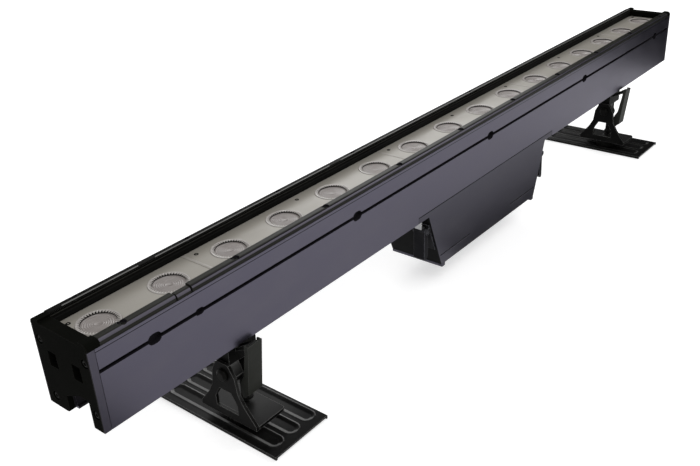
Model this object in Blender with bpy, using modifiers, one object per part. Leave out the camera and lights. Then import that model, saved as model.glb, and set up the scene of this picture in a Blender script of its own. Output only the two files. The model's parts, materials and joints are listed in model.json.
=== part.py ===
"""LED pixel bar on two floor feet, with a clip-on power pack. Metres, +Z up.

X runs along the bar, the front side faces -Y, and Z = 0 is the floor. Heights named below are
measured from the underside of the bar's legs, which stand STAND_HEIGHT above the floor.
"""

import math

import bmesh
import bpy
from mathutils import Matrix

# Fits
CLEARANCE = 0.0003
CUT_MARGIN = 0.001

# Bar
BAR_LENGTH = 1.000
BAR_WIDTH = 0.0623
SIDE_HEIGHT = 0.065
RAIL_TOP = 0.0704
STAND_HEIGHT = 0.0875
WALL = 0.0025
TOP_WALL = 0.0022
DECK_TOP = 0.041
DECK_THICKNESS = 0.003
ROOF_THICKNESS = 0.0025
PIXEL_COUNT = 16
ARRAY_PIXELS = (2, 4, 4, 4, 2)

# Channel under the bar, whose lips the feet hook over
CHANNEL_WIDTH = 0.0272
CHANNEL_OFFSET = -0.0061
CHANNEL_DEPTH = 0.0221
CHANNEL_SLOPE_WIDTH = 0.0173
CHANNEL_SLOPE_HEIGHT = 0.0075
CHANNEL_LIP = 0.0015
CHANNEL_LIP_HEIGHT = 0.002
REAR_LEG_FLOOR = 0.013
REAR_LEG_WALL = 0.0025

# T-groove along both sides, with oval entry holes
GROOVE_HEIGHT = 0.0475
GROOVE_MOUTH = 0.003
GROOVE_LIP = 0.002
GROOVE_WIDTH = 0.006
GROOVE_DEPTH = 0.0028
GROOVE_BACK = 0.004
ENTRY_HOLE_LENGTH = 0.012
ENTRY_HOLE_HEIGHT = 0.0085
ENTRY_HOLE_PITCH = 0.224
ENTRY_HOLE_COUNT = 5
PIN_HOLE_LENGTH = 0.0085
PIN_HOLE_HEIGHT = 0.0055
PIN_HOLE_X = -0.4067

# Rails that hold the lens arrays
RAIL_INNER = 0.0226
RAIL_SHOULDER = 0.003
RAIL_SCREW_DIAMETER = 0.0063
RAIL_SCREW_DEPTH = 0.002
RAIL_SCREW_COUNT = 10
RAIL_SCREW_PITCH = 0.104
RAIL_SCREW_Y = 0.0268

# Lens arrays and LED boards
ARRAY_TOP = 0.0605
ARRAY_THICKNESS = 0.0022
LENS_DIAMETER = 0.032
LENS_CROWN = 0.0004
LENS_CONE_TOP_DIAMETER = 0.0312
LENS_CONE_FOOT_DIAMETER = 0.014
LENS_CONE_FOOT = 0.0457
BOARD_THICKNESS = 0.0016
EMITTER_WIDTH = 0.008
EMITTER_HEIGHT = 0.0025

# Driver board in the hollow under the deck
DRIVER_LENGTH = 0.640
DRIVER_WIDTH = 0.034
DRIVER_Y = -0.009
DRIVER_CHIP_LENGTH = 0.018
DRIVER_CHIP_HEIGHT = 0.006
DRIVER_CHIP_COUNT = 6

# Ends
TRIM_DEPTH = 0.0057
TRIM_WEB = 0.0012
TRIM_SIDE = 0.0012
CAP_TOP_LENGTH = 0.0104
CAP_TOP = 0.068
CAP_CORNER_RADIUS = 0.004
CAP_FOOT_RADIUS = 0.003
POCKET_WIDTH = 0.0095
POCKET_HEIGHT = 0.0125
POCKET_DEPTH = 0.0046
POCKET_WALL = 0.0008
POCKET_SPACING = 0.027
POCKET_Z = 0.0422
CAP_SCREW_HEAD_DIAMETER = 0.0068
CAP_SCREW_HEAD_HEIGHT = 0.0024
CAP_SCREW_DIAMETER = 0.003
CAP_SCREW_LENGTH = 0.014
CAP_SCREW_TOP_Y = 0.0252
CAP_SCREW_TOP_Z = 0.0545
CAP_SCREW_FRONT_Z = 0.013
CAP_SCREW_REAR_Y = 0.0215
CAP_SCREW_REAR_Z = 0.0085

# Power pack
PACK_SEAM_HEIGHT = 0.0065
PACK_X = 0.006
PACK_TONGUE_MARGIN = 0.0064
PACK_TOP_LENGTH = 0.241
PACK_END_LEAN = 0.018
PACK_KNEE_DROP = 0.0515
PACK_CHIN_LEAN = 0.0045
PACK_DEPTH = 0.0629
PACK_WALL = 0.0022
PACK_LID_THICKNESS = 0.003
PACK_LINE_WIDTH = 0.001
PACK_LINE_DEPTH = 0.0006
PACK_LINE_LENGTH = 0.060
SKID_LENGTH = 0.0065
SKID_HEIGHT = 0.0033
SKID_CORNER_RADIUS = 0.0015
CELL_DIAMETER = 0.0186
CELL_PITCH = 0.0183
CELL_LENGTH = 0.065
CELL_ROWS = 2
CELL_COLUMNS = 3
POWER_BOARD_LENGTH = 0.140
POWER_BOARD_WIDTH = 0.050
COIL_DIAMETER = 0.014
COIL_HEIGHT = 0.012
CONTACT_LENGTH = 0.024
CONTACT_WIDTH = 0.020
SOCKET_FLANGE_DIAMETER = 0.0195
SOCKET_BODY_DIAMETER = 0.0165
SOCKET_BORE_DIAMETER = 0.012
SOCKET_BORE_DEPTH = 0.009
SOCKET_FLANGE_HEIGHT = 0.0022
SOCKET_BODY_LENGTH = 0.009
SOCKET_INSET = 0.033
SOCKET_DROP = 0.022

# Clasps that hold the pack on
CLASP_Y = -0.021
CLASP_BASE_WIDTH = 0.0165
CLASP_EAR = 0.0015
CLASP_BASE_THICKNESS = 0.0015
CLASP_BASE_TOP = 0.010
CLASP_BASE_BOTTOM = 0.042
CLASP_PIN_INSET = 0.0004
CLASP_PIN_DROP = 0.017
CLASP_PIN_DIAMETER = 0.0026
CLASP_EYE_RADIUS = 0.0031
CLASP_LEVER_THICKNESS = 0.004
CLASP_LEVER_END = 0.049
CLASP_LEVER_LEAN = 0.002
HOOK_THICKNESS = 0.0016
HOOK_WIDTH = 0.008
HOOK_FOOT = 0.001
HOOK_NOSE = 0.0045
KEEPER_LEDGE = 0.0017
KEEPER_WEB = 0.0016
KEEPER_WIDTH = 0.014

# Feet
FOOT_INSET = 0.142
PLATE_WIDTH = 0.0625
PLATE_LENGTH = 0.140
PLATE_X = 0.0035
PLATE_SHEET = 0.0015
PLATE_LIP = 0.0015
PLATE_CORNER_RADIUS = 0.001
PLATE_TROUGH_WIDTH = 0.0115
PLATE_TROUGH_PITCH = 0.0192
PLATE_TROUGH_X = 0.0018
PLATE_TROUGH_FRONT = 0.0085
PLATE_TROUGH_REAR = 0.0045
PIVOT_Y = -0.0135
PIVOT_DROP = 0.0325
YOKE_SHEET = 0.003
YOKE_OUTER_X = -0.022
YOKE_BASE_LENGTH = 0.034
YOKE_BASE_WIDTH = 0.063
YOKE_BASE_GAP = 0.0095
YOKE_TOP_RISE = 0.011
YOKE_TOP_WIDTH = 0.0105
YOKE_SHOULDER_WIDTH = 0.0252
YOKE_WAIST_DROP = 0.0145
YOKE_WAIST_WIDTH = 0.0292
YOKE_FLARE_DROP = 0.024
YOKE_FLARE_WIDTH = 0.0398
YOKE_WINDOW_WIDTH = 0.025
YOKE_WINDOW_TOP_WIDTH = 0.013
YOKE_WINDOW_TOP = 0.0155
YOKE_WINDOW_SILL = 0.0045
YOKE_WINDOW_SHOULDER = 0.0095
YOKE_CORNER_RADIUS = 0.003
SWIVEL_X = -0.005
SWIVEL_DISC_DIAMETER = 0.026
SWIVEL_SHANK_DIAMETER = 0.006
SWIVEL_HEAD_DIAMETER = 0.011
SWIVEL_HEAD_HEIGHT = 0.0018
SCREW_CROWN_SHARE = 0.7
TILT_BOLT_DIAMETER = 0.006
TILT_HEAD_DIAMETER = 0.0115
TILT_HEAD_HEIGHT = 0.003
TILT_CROWN_SHARE = 0.6
TILT_NUT_DIAMETER = 0.010
TILT_NUT_HEIGHT = 0.0035
HEAD_LENGTH = 0.0307
HEAD_LUG_LENGTH = 0.0092
HEAD_LUG_RADIUS = 0.0105
HEAD_BLOCK_DROP = 0.024
HEAD_BLOCK_WIDTH = 0.0164
HEAD_SHELF_DROP = 0.008
HEAD_SEAT_DROP = 0.0033
HEAD_HOOK_HEIGHT = 0.016
JAW_TRAVEL = 0.0022
JAW_HEIGHT = 0.012
JAW_LENGTH = 0.022
BARREL_DIAMETER = 0.0088
BARREL_RING_DIAMETER = 0.0112
BARREL_RING_HEIGHT = 0.004
BARREL_FOOT_GAP = 0.0009
ARM_WIDTH = 0.0075
ARM_THICKNESS = 0.003
ARM_ROOT_DROP = 0.013
ARM_EYE_RADIUS = 0.002
LEVER_PIN_OUT = 0.0209
LEVER_PIN_DROP = 0.004
LEVER_PIN_DIAMETER = 0.002
LEVER_WIDTH = 0.0155
LEVER_X = -0.007
LEVER_SHEET = 0.0015
LEVER_TOP = 0.001
LEVER_END_DROP = 0.0495
LEVER_LEAN = 0.0058
LEVER_WING = 0.0046
LEVER_WAIST_DROP = 0.0315
LEVER_HEEL = 0.0085
LEVER_HEEL_TOP_DROP = 0.0427
LEVER_HEEL_FOOT_DROP = 0.0535

# Sizes that follow from those above
HALF_LENGTH = BAR_LENGTH / 2
HALF_WIDTH = BAR_WIDTH / 2
PIXEL_PITCH = BAR_LENGTH / PIXEL_COUNT
HOUSING_END = HALF_LENGTH - TRIM_DEPTH - CLEARANCE
WEB_FACE = HALF_LENGTH - TRIM_DEPTH + TRIM_WEB
CAP_BACK = WEB_FACE + CLEARANCE
CAP_TOP_BACK = HALF_LENGTH - CAP_TOP_LENGTH
CAP_HALF_WIDTH = HALF_WIDTH - TRIM_SIDE - CLEARANCE
CHANNEL_FRONT = CHANNEL_OFFSET - CHANNEL_WIDTH / 2
CHANNEL_REAR = CHANNEL_OFFSET + CHANNEL_WIDTH / 2
BOSS_INNER = HALF_WIDTH - GROOVE_LIP - GROOVE_DEPTH - GROOVE_BACK
TROUGH_INNER = HALF_WIDTH - TOP_WALL
ARRAY_UNDERSIDE = ARRAY_TOP - ARRAY_THICKNESS
ARRAY_SEAT = ARRAY_UNDERSIDE - CLEARANCE
CAVITY_FLOOR = CHANNEL_DEPTH + ROOF_THICKNESS
CAVITY_TOP = DECK_TOP - DECK_THICKNESS
PLATE_TOP = PLATE_LIP + PLATE_SHEET - STAND_HEIGHT
YOKE_BASE_UNDER = PLATE_TOP + YOKE_BASE_GAP
YOKE_BASE_TOP = YOKE_BASE_UNDER + YOKE_SHEET
HEAD_X0 = YOKE_OUTER_X + YOKE_SHEET + CLEARANCE
HEAD_X1 = HEAD_X0 + HEAD_LENGTH
LUG_X1 = HEAD_X0 + HEAD_LUG_LENGTH
HEAD_FRONT = CHANNEL_FRONT + CLEARANCE
HEAD_REAR = HEAD_FRONT + HEAD_BLOCK_WIDTH
NECK_FRONT = CHANNEL_FRONT + CHANNEL_LIP + CLEARANCE
NECK_REAR = CHANNEL_REAR - CHANNEL_LIP - CLEARANCE
OVER_LIP = CHANNEL_LIP_HEIGHT + CLEARANCE
LEVER_PIN_Y = PIVOT_Y - LEVER_PIN_OUT
PACK_HALF_TOP = PACK_TOP_LENGTH / 2
PACK_HALF_KNEE = PACK_HALF_TOP - PACK_END_LEAN
PACK_HALF_BOTTOM = PACK_HALF_KNEE - PACK_CHIN_LEAN
PACK_SLOPE = PACK_END_LEAN / PACK_KNEE_DROP
PACK_CHIN_SLOPE = PACK_CHIN_LEAN / (PACK_DEPTH - PACK_KNEE_DROP)
SOCKET_X = PACK_HALF_TOP - SOCKET_INSET
CLASP_PIN_X = PACK_HALF_TOP - CLASP_PIN_INSET
HOOK_INNER = CLASP_PIN_X + CLASP_EYE_RADIUS + CLEARANCE
HOOK_OUTER = HOOK_INNER + HOOK_THICKNESS
HOOK_TIP = HOOK_OUTER + HOOK_NOSE
KEEPER_INNER = HOOK_TIP + CLEARANCE
KEEPER_OUTER = KEEPER_INNER + KEEPER_WEB
PACK_HALF_TONGUE = KEEPER_OUTER + PACK_TONGUE_MARGIN
FOOT_X = HALF_LENGTH - FOOT_INSET

ALONG_X = (math.pi / 2, 0, math.pi / 2)
ALONG_Y = (math.pi / 2, 0, 0)
ALONG_Z = (0, 0, 0)


def clear_scene():
    for item in list(bpy.data.objects):
        bpy.data.objects.remove(item)


def new_collection(name):
    group = bpy.data.collections.new(name)
    bpy.context.scene.collection.children.link(group)
    return group


def new_finish(name, colour, roughness, metallic):
    finish = bpy.data.materials.new(name)
    finish.use_nodes = True
    shader = finish.node_tree.nodes["Principled BSDF"]
    shader.inputs["Base Color"].default_value = (*colour, 1)
    shader.inputs["Roughness"].default_value = roughness
    shader.inputs["Metallic"].default_value = metallic
    return finish


clear_scene()
PARTS = new_collection("led_pixel_bar")
HELPERS = new_collection("cutters")
ANODISED = new_finish("anodised_aluminium", (0.085, 0.082, 0.11), 0.45, 0.7)
BLACK_METAL = new_finish("black_painted_metal", (0.018, 0.018, 0.02), 0.45, 0.3)
BLACK_PLASTIC = new_finish("black_moulded_plastic", (0.012, 0.012, 0.013), 0.5, 0.0)
STEEL = new_finish("zinc_plated_steel", (0.45, 0.45, 0.46), 0.35, 1.0)
FROSTED = new_finish("frosted_lens", (0.42, 0.40, 0.38), 0.4, 0.0)
BOARD = new_finish("circuit_board", (0.02, 0.09, 0.05), 0.5, 0.0)
CELLS = new_finish("cell_wrap", (0.05, 0.12, 0.25), 0.5, 0.0)


def place(item, finish, parent=None):
    """Put a piece among the parts with its material, under the empty that carries it."""
    item.data.materials.clear()
    item.data.materials.append(finish)
    if parent is not None:
        item.parent = parent
        item.matrix_parent_inverse = Matrix.Translation(-carried_at[parent.name])
    return item


def park(item):
    """Keep a cutter or a helper out of the render."""
    PARTS.objects.unlink(item)
    HELPERS.objects.link(item)
    item.hide_render = True
    item.display_type = "WIRE"


def combine(target, helper, operation):
    """Cut the helper from the target, or join it on."""
    modifier = target.modifiers.new(operation.lower(), "BOOLEAN")
    modifier.operation = operation
    modifier.object = helper
    park(helper)


def cut(target, helper):
    combine(target, helper, "DIFFERENCE")


def join(target, helper):
    combine(target, helper, "UNION")


def evaluated_mesh(item):
    bpy.context.view_layer.update()
    graph = bpy.context.evaluated_depsgraph_get()
    return bpy.data.meshes.new_from_object(item.evaluated_get(graph))


def merged(name, items):
    """One object that holds the shapes of several, as a group of cutters or of pieces to join on."""
    body = bmesh.new()
    for item in items:
        mesh = evaluated_mesh(item)
        mesh.transform(item.matrix_world)
        body.from_mesh(mesh)
        bpy.data.objects.remove(item)
    return from_bmesh(name, body)


def from_bmesh(name, body):
    mesh = bpy.data.meshes.new(name)
    body.to_mesh(mesh)
    body.free()
    item = bpy.data.objects.new(name, mesh)
    PARTS.objects.link(item)
    return item


def outline_faces(name, loops, depth):
    """The faces of a flat outline with holes, extruded to a depth."""
    curve = bpy.data.curves.new(name, "CURVE")
    curve.dimensions = "2D"
    curve.fill_mode = "BOTH"
    curve.extrude = depth / 2
    for loop in loops:
        spline = curve.splines.new("POLY")
        spline.points.add(len(loop) - 1)
        spline.use_cyclic_u = True
        for point, (u, v) in zip(spline.points, loop):
            point.co = (u, v, 0, 1)
    drawn = bpy.data.objects.new(name + "_outline", curve)
    PARTS.objects.link(drawn)
    mesh = evaluated_mesh(drawn)
    bpy.data.objects.remove(drawn)
    body = bmesh.new()
    body.from_mesh(mesh)
    return body


def loop_faces(loop, depth):
    """The faces of one outline, extruded to a depth."""
    body = bmesh.new()
    foot = body.faces.new([body.verts.new((u, v, -depth / 2)) for u, v in loop])
    risen = bmesh.ops.extrude_face_region(body, geom=[foot])["geom"]
    lifted = [item for item in risen if isinstance(item, bmesh.types.BMVert)]
    bmesh.ops.translate(body, vec=(0, 0, depth), verts=lifted)
    return body


def outline_solid(name, loops, depth, rotation, location):
    """A flat outline with any holes, extruded to a depth about its own plane."""
    body = loop_faces(loops[0], depth) if len(loops) == 1 else outline_faces(name, loops, depth)
    bmesh.ops.remove_doubles(body, verts=body.verts, dist=1e-6)
    bmesh.ops.recalc_face_normals(body, faces=body.faces)
    item = from_bmesh(name, body)
    item.rotation_euler = rotation
    item.location = location
    return item


def prism_x(name, loops, x0, x1):
    """Loops of (y, height) extruded along X."""
    return outline_solid(name, loops, x1 - x0, ALONG_X, ((x0 + x1) / 2, 0, STAND_HEIGHT))


def prism_y(name, loops, y0, y1):
    """Loops of (x, height) extruded along Y."""
    return outline_solid(name, loops, y1 - y0, ALONG_Y, (0, (y0 + y1) / 2, STAND_HEIGHT))


def prism_z(name, loops, z0, z1):
    """Loops of (x, y) extruded upwards between two heights."""
    return outline_solid(name, loops, z1 - z0, ALONG_Z, (0, 0, STAND_HEIGHT + (z0 + z1) / 2))


def box(name, x, y, z):
    """A block between pairs of X, Y and height."""
    body = bmesh.new()
    bmesh.ops.create_cube(body, size=1)
    size = (x[1] - x[0], y[1] - y[0], z[1] - z[0])
    bmesh.ops.scale(body, vec=size, verts=body.verts)
    item = from_bmesh(name, body)
    item.location = ((x[0] + x[1]) / 2, (y[0] + y[1]) / 2, STAND_HEIGHT + (z[0] + z[1]) / 2)
    return item


def rod(name, diameter, start, end, rotation, segments=16):
    """A round bar between two distances along its axis, centred on the origin of the other two."""
    body = bmesh.new()
    bmesh.ops.create_cone(
        body,
        cap_ends=True,
        segments=segments,
        radius1=diameter / 2,
        radius2=diameter / 2,
        depth=end - start,
    )
    bmesh.ops.translate(body, vec=(0, 0, (start + end) / 2), verts=body.verts)
    item = from_bmesh(name, body)
    item.rotation_euler = rotation
    item.data.shade_smooth()
    item.data.set_sharp_from_angle(angle=math.radians(40))
    return item


def rod_x(name, diameter, x, y, height, segments=16):
    """A round bar along X between two X values."""
    item = rod(name, diameter, x[0], x[1], (0, math.pi / 2, 0), segments)
    item.location = (0, y, STAND_HEIGHT + height)
    return item


def rod_y(name, diameter, x, y, height, segments=16):
    """A round bar along Y between two Y values."""
    item = rod(name, diameter, -y[1], -y[0], (math.pi / 2, 0, 0), segments)
    item.location = (x, 0, STAND_HEIGHT + height)
    return item


def rod_z(name, diameter, x, y, z, segments=16):
    """A round bar along Z between two heights."""
    item = rod(name, diameter, z[0], z[1], ALONG_Z, segments)
    item.location = (x, y, STAND_HEIGHT)
    return item


def turned(name, profile, rotation, location, steps=24):
    """A profile of (radius, distance), from the top of its outer side down, turned about its axis."""
    mesh = bpy.data.meshes.new(name)
    points = [(radius, 0, along) for radius, along in profile]
    edges = [(i, i + 1) for i in range(len(points) - 1)]
    mesh.from_pydata(points, edges, [])
    item = bpy.data.objects.new(name, mesh)
    PARTS.objects.link(item)
    screw = item.modifiers.new("turn", "SCREW")
    screw.steps = steps
    screw.render_steps = steps
    screw.use_merge_vertices = True
    screw.merge_threshold = 0.00001
    item.rotation_euler = rotation
    item.location = location
    return item


def arc(centre, radius, start, end, steps):
    """Points of an arc, angles in degrees."""
    points = []
    for i in range(steps + 1):
        angle = math.radians(start + (end - start) * i / steps)
        points.append((centre[0] + radius * math.cos(angle), centre[1] + radius * math.sin(angle)))
    return points


def rectangle(u, v, radius=0.0, steps=3):
    """A rectangle between pairs of values, with rounded corners."""
    if radius == 0:
        return [(u[0], v[0]), (u[1], v[0]), (u[1], v[1]), (u[0], v[1])]
    points = []
    corners = (
        (u[1], v[0], -1, 1, -90),
        (u[1], v[1], -1, -1, 0),
        (u[0], v[1], 1, -1, 90),
        (u[0], v[0], 1, 1, 180),
    )
    for cu, cv, su, sv, start in corners:
        points += arc((cu + su * radius, cv + sv * radius), radius, start, start + 90, steps)
    return points


def stadium(x, y0, y1, width, steps=4):
    """A slot outline along Y with round ends."""
    r = width / 2
    return arc((x, y1 - r), r, 0, 180, steps) + arc((x, y0 + r), r, 180, 360, steps)


carried_at = {}


def carrier(name, location, parent=None):
    """An empty on a joint's axis, which carries the pieces that move there."""
    empty = bpy.data.objects.new(name, None)
    PARTS.objects.link(empty)
    empty.location = location
    carried_at[name] = Matrix.Translation(location).translation.copy()
    if parent is not None:
        empty.parent = parent
        empty.matrix_parent_inverse = Matrix.Translation(-carried_at[parent.name])
    return empty


def capped_channel_edge():
    """The channel's outline at the bar's ends, where its rear foot is rounded."""
    r = CAP_FOOT_RADIUS
    return channel_edge()[:-1] + arc((CHANNEL_REAR + r, r), r, 180, 270, 4)


def channel_edge():
    """The channel's outline, from its front foot over the roof to its rear foot."""
    return [
        (CHANNEL_FRONT, 0),
        (CHANNEL_FRONT, CHANNEL_DEPTH),
        (CHANNEL_REAR - CHANNEL_SLOPE_WIDTH, CHANNEL_DEPTH),
        (CHANNEL_REAR, CHANNEL_DEPTH - CHANNEL_SLOPE_HEIGHT),
        (CHANNEL_REAR, 0),
    ]


def lipped_channel_edge():
    """The same outline with the inward lip at each foot."""
    front = CHANNEL_FRONT + CHANNEL_LIP
    rear = CHANNEL_REAR - CHANNEL_LIP
    top = CHANNEL_LIP_HEIGHT
    plain = channel_edge()
    front_foot = [(front, 0), (front, top), (CHANNEL_FRONT, top)]
    rear_foot = [(CHANNEL_REAR, top), (rear, top), (rear, 0)]
    return front_foot + plain[1:-1] + rear_foot


def groove_edge(side):
    """One side's T-groove, from its lower lip to its upper one."""
    low = GROOVE_HEIGHT - GROOVE_MOUTH / 2
    high = GROOVE_HEIGHT + GROOVE_MOUTH / 2
    floor = GROOVE_HEIGHT - GROOVE_WIDTH / 2
    ceiling = GROOVE_HEIGHT + GROOVE_WIDTH / 2
    lip = HALF_WIDTH - GROOVE_LIP
    back = lip - GROOVE_DEPTH
    points = [(HALF_WIDTH, low), (lip, low), (lip, floor), (back, floor)]
    points += [(back, ceiling), (lip, ceiling), (lip, high), (HALF_WIDTH, high)]
    return [(side * y, z) for y, z in points]


def built_along_bar(distance, build, *places):
    """Build a sub-assembly about the middle of the bar and move all of it along the bar."""
    before = set(bpy.data.objects)
    build(*places)
    for item in set(bpy.data.objects) - before:
        if item.parent is None:
            item.location.x += distance


def make_housing():
    top_edge = [
        (HALF_WIDTH, SIDE_HEIGHT),
        (TROUGH_INNER, SIDE_HEIGHT),
        (TROUGH_INNER, ARRAY_SEAT),
        (BOSS_INNER, ARRAY_SEAT),
        (BOSS_INNER, DECK_TOP),
    ]
    outer = [(-HALF_WIDTH, 0)] + lipped_channel_edge() + [(HALF_WIDTH, 0)] + groove_edge(1) + top_edge
    outer += [(-y, z) for y, z in reversed(top_edge)]
    outer += list(reversed(groove_edge(-1)))
    inner_wall = HALF_WIDTH - WALL
    rear_leg = CHANNEL_REAR + REAR_LEG_WALL
    cavity = [
        (-inner_wall, CAVITY_FLOOR),
        (rear_leg, CAVITY_FLOOR),
        (rear_leg, REAR_LEG_FLOOR),
        (inner_wall, REAR_LEG_FLOOR),
        (inner_wall, CAVITY_TOP),
        (-inner_wall, CAVITY_TOP),
    ]
    housing = prism_x("housing", [outer, cavity], -HOUSING_END, HOUSING_END)
    place(housing, ANODISED)
    cut_housing_ends(housing)
    cut_entry_holes(housing)
    seat = box(
        "pack_seat_cut",
        (PACK_X - PACK_HALF_TONGUE, PACK_X + PACK_HALF_TONGUE),
        (-HALF_WIDTH - CUT_MARGIN, HALF_WIDTH + CUT_MARGIN),
        (-CUT_MARGIN, PACK_SEAM_HEIGHT),
    )
    cut(housing, seat)


def cut_housing_ends(housing):
    """Ports for the end screws."""
    cutters = []
    bore = CAP_SCREW_DIAMETER + 2 * CLEARANCE
    reach = HALF_LENGTH - CAP_SCREW_LENGTH - CUT_MARGIN
    for side in (-1, 1):
        ends = sorted((side * reach, side * HALF_LENGTH))
        for name, y, z in cap_screw_places():
            cutters.append(rod_x("port_" + name, bore, ends, y, z, 12))
    cut(housing, merged("housing_end_cuts", cutters))


def oval(x, height, width, rise, steps=6):
    """An upright slot's outline, with round ends along X."""
    r = rise / 2
    right = arc((x + width / 2 - r, height), r, -90, 90, steps)
    left = arc((x - width / 2 + r, height), r, 90, 270, steps)
    return right + left


def cut_entry_holes(housing):
    cutters = []
    depth = GROOVE_LIP + GROOVE_DEPTH + CLEARANCE
    holes = []
    for i in range(ENTRY_HOLE_COUNT):
        x = (i - (ENTRY_HOLE_COUNT - 1) / 2) * ENTRY_HOLE_PITCH
        holes.append(oval(x, GROOVE_HEIGHT, ENTRY_HOLE_LENGTH, ENTRY_HOLE_HEIGHT))
    holes.append(oval(PIN_HOLE_X, GROOVE_HEIGHT, PIN_HOLE_LENGTH, PIN_HOLE_HEIGHT))
    for side in (-1, 1):
        ends = sorted((side * (HALF_WIDTH - depth), side * (HALF_WIDTH + CUT_MARGIN)))
        cutters += [prism_y("entry", [hole], *ends) for hole in holes]
    cut(housing, merged("entry_hole_cuts", cutters))


def cap_screw_places():
    front_leg = (CHANNEL_FRONT - HALF_WIDTH) / 2
    return (
        ("top_front", -CAP_SCREW_TOP_Y, CAP_SCREW_TOP_Z),
        ("top_rear", CAP_SCREW_TOP_Y, CAP_SCREW_TOP_Z),
        ("leg_front", front_leg, CAP_SCREW_FRONT_Z),
        ("leg_rear", CAP_SCREW_REAR_Y, CAP_SCREW_REAR_Z),
    )


def make_rail(name, side):
    inner = RAIL_INNER
    trough = TROUGH_INNER - CLEARANCE
    outer = HALF_WIDTH - CLEARANCE
    low = ARRAY_TOP + CLEARANCE
    shelf = SIDE_HEIGHT + CLEARANCE
    crown = RAIL_SHOULDER
    inner_crown = RAIL_SHOULDER / 3
    profile = [(inner, low), (trough, low), (trough, shelf), (outer, shelf)]
    profile += arc((outer - crown, RAIL_TOP - crown), crown, 0, 90, 4)
    profile += arc((inner + inner_crown, RAIL_TOP - inner_crown), inner_crown, 90, 180, 2)
    rail = prism_x(name, [[(side * y, z) for y, z in profile]], -rail_end(), rail_end())
    place(rail, BLACK_METAL)
    cutters = []
    for i in range(RAIL_SCREW_COUNT):
        x = (i - (RAIL_SCREW_COUNT - 1) / 2) * RAIL_SCREW_PITCH
        heights = (RAIL_TOP - RAIL_SCREW_DEPTH, RAIL_TOP + CUT_MARGIN)
        cutters.append(rod_z("well", RAIL_SCREW_DIAMETER, x, side * RAIL_SCREW_Y, heights, 12))
    cut(rail, merged(name + "_screw_wells", cutters))


def rail_end():
    return CAP_TOP_BACK - CLEARANCE


def array_spans():
    """Each lens array's first pixel, its end one, and its ends along X."""
    first = 0
    for count in ARRAY_PIXELS:
        low = -HALF_LENGTH + first * PIXEL_PITCH
        high = low + count * PIXEL_PITCH
        reach = HOUSING_END - CLEARANCE
        start = max(low + CLEARANCE / 2, -reach)
        end = min(high - CLEARANCE / 2, reach)
        yield range(first, first + count), start, end
        first += count


def pixel_x(index):
    return -HALF_LENGTH + (index + 0.5) * PIXEL_PITCH


def make_lens_arrays():
    half = TROUGH_INNER - CLEARANCE
    crown_radius = LENS_DIAMETER / 2
    profile = (
        (0, ARRAY_TOP + LENS_CROWN),
        (crown_radius - 2 * LENS_CROWN, ARRAY_TOP + LENS_CROWN),
        (crown_radius, ARRAY_TOP),
        (LENS_CONE_TOP_DIAMETER / 2, ARRAY_UNDERSIDE),
        (LENS_CONE_FOOT_DIAMETER / 2, LENS_CONE_FOOT),
        (0, LENS_CONE_FOOT),
    )
    for number, (pixels, start, end) in enumerate(array_spans(), 1):
        name = f"lens_array_{number}"
        plate = box(name, (start, end), (-half, half), (ARRAY_UNDERSIDE, ARRAY_TOP))
        place(plate, FROSTED)
        lenses = [turned("lens", profile, ALONG_Z, (pixel_x(i), 0, STAND_HEIGHT), 24) for i in pixels]
        join(plate, merged(name + "_lenses", lenses))


def make_led_boards():
    half = BOSS_INNER - CLEARANCE
    under = DECK_TOP + CLEARANCE
    top = under + BOARD_THICKNESS
    for number, (pixels, start, end) in enumerate(array_spans(), 1):
        name = f"led_board_{number}"
        board = box(name, (start, end), (-half, half), (under, top))
        place(board, BOARD)
        height = (top - BOARD_THICKNESS / 2, top + EMITTER_HEIGHT)
        emitters = [rod_z("emitter", EMITTER_WIDTH, pixel_x(i), 0, height, 12) for i in pixels]
        join(board, merged(name + "_emitters", emitters))


def make_driver_board():
    under = CAVITY_FLOOR + CLEARANCE
    top = under + BOARD_THICKNESS
    half = DRIVER_LENGTH / 2
    y = (DRIVER_Y - DRIVER_WIDTH / 2, DRIVER_Y + DRIVER_WIDTH / 2)
    board = box("driver_board", (-half, half), y, (under, top))
    place(board, BOARD)
    chips = []
    for i in range(DRIVER_CHIP_COUNT):
        x = (i - (DRIVER_CHIP_COUNT - 1) / 2) * DRIVER_LENGTH / DRIVER_CHIP_COUNT
        r = DRIVER_CHIP_LENGTH / 2
        chips.append(
            box(
                "chip",
                (x - r, x + r),
                (DRIVER_Y - r, DRIVER_Y + r),
                (top - BOARD_THICKNESS / 2, top + DRIVER_CHIP_HEIGHT),
            )
        )
    join(board, merged("driver_chips", chips))


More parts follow.
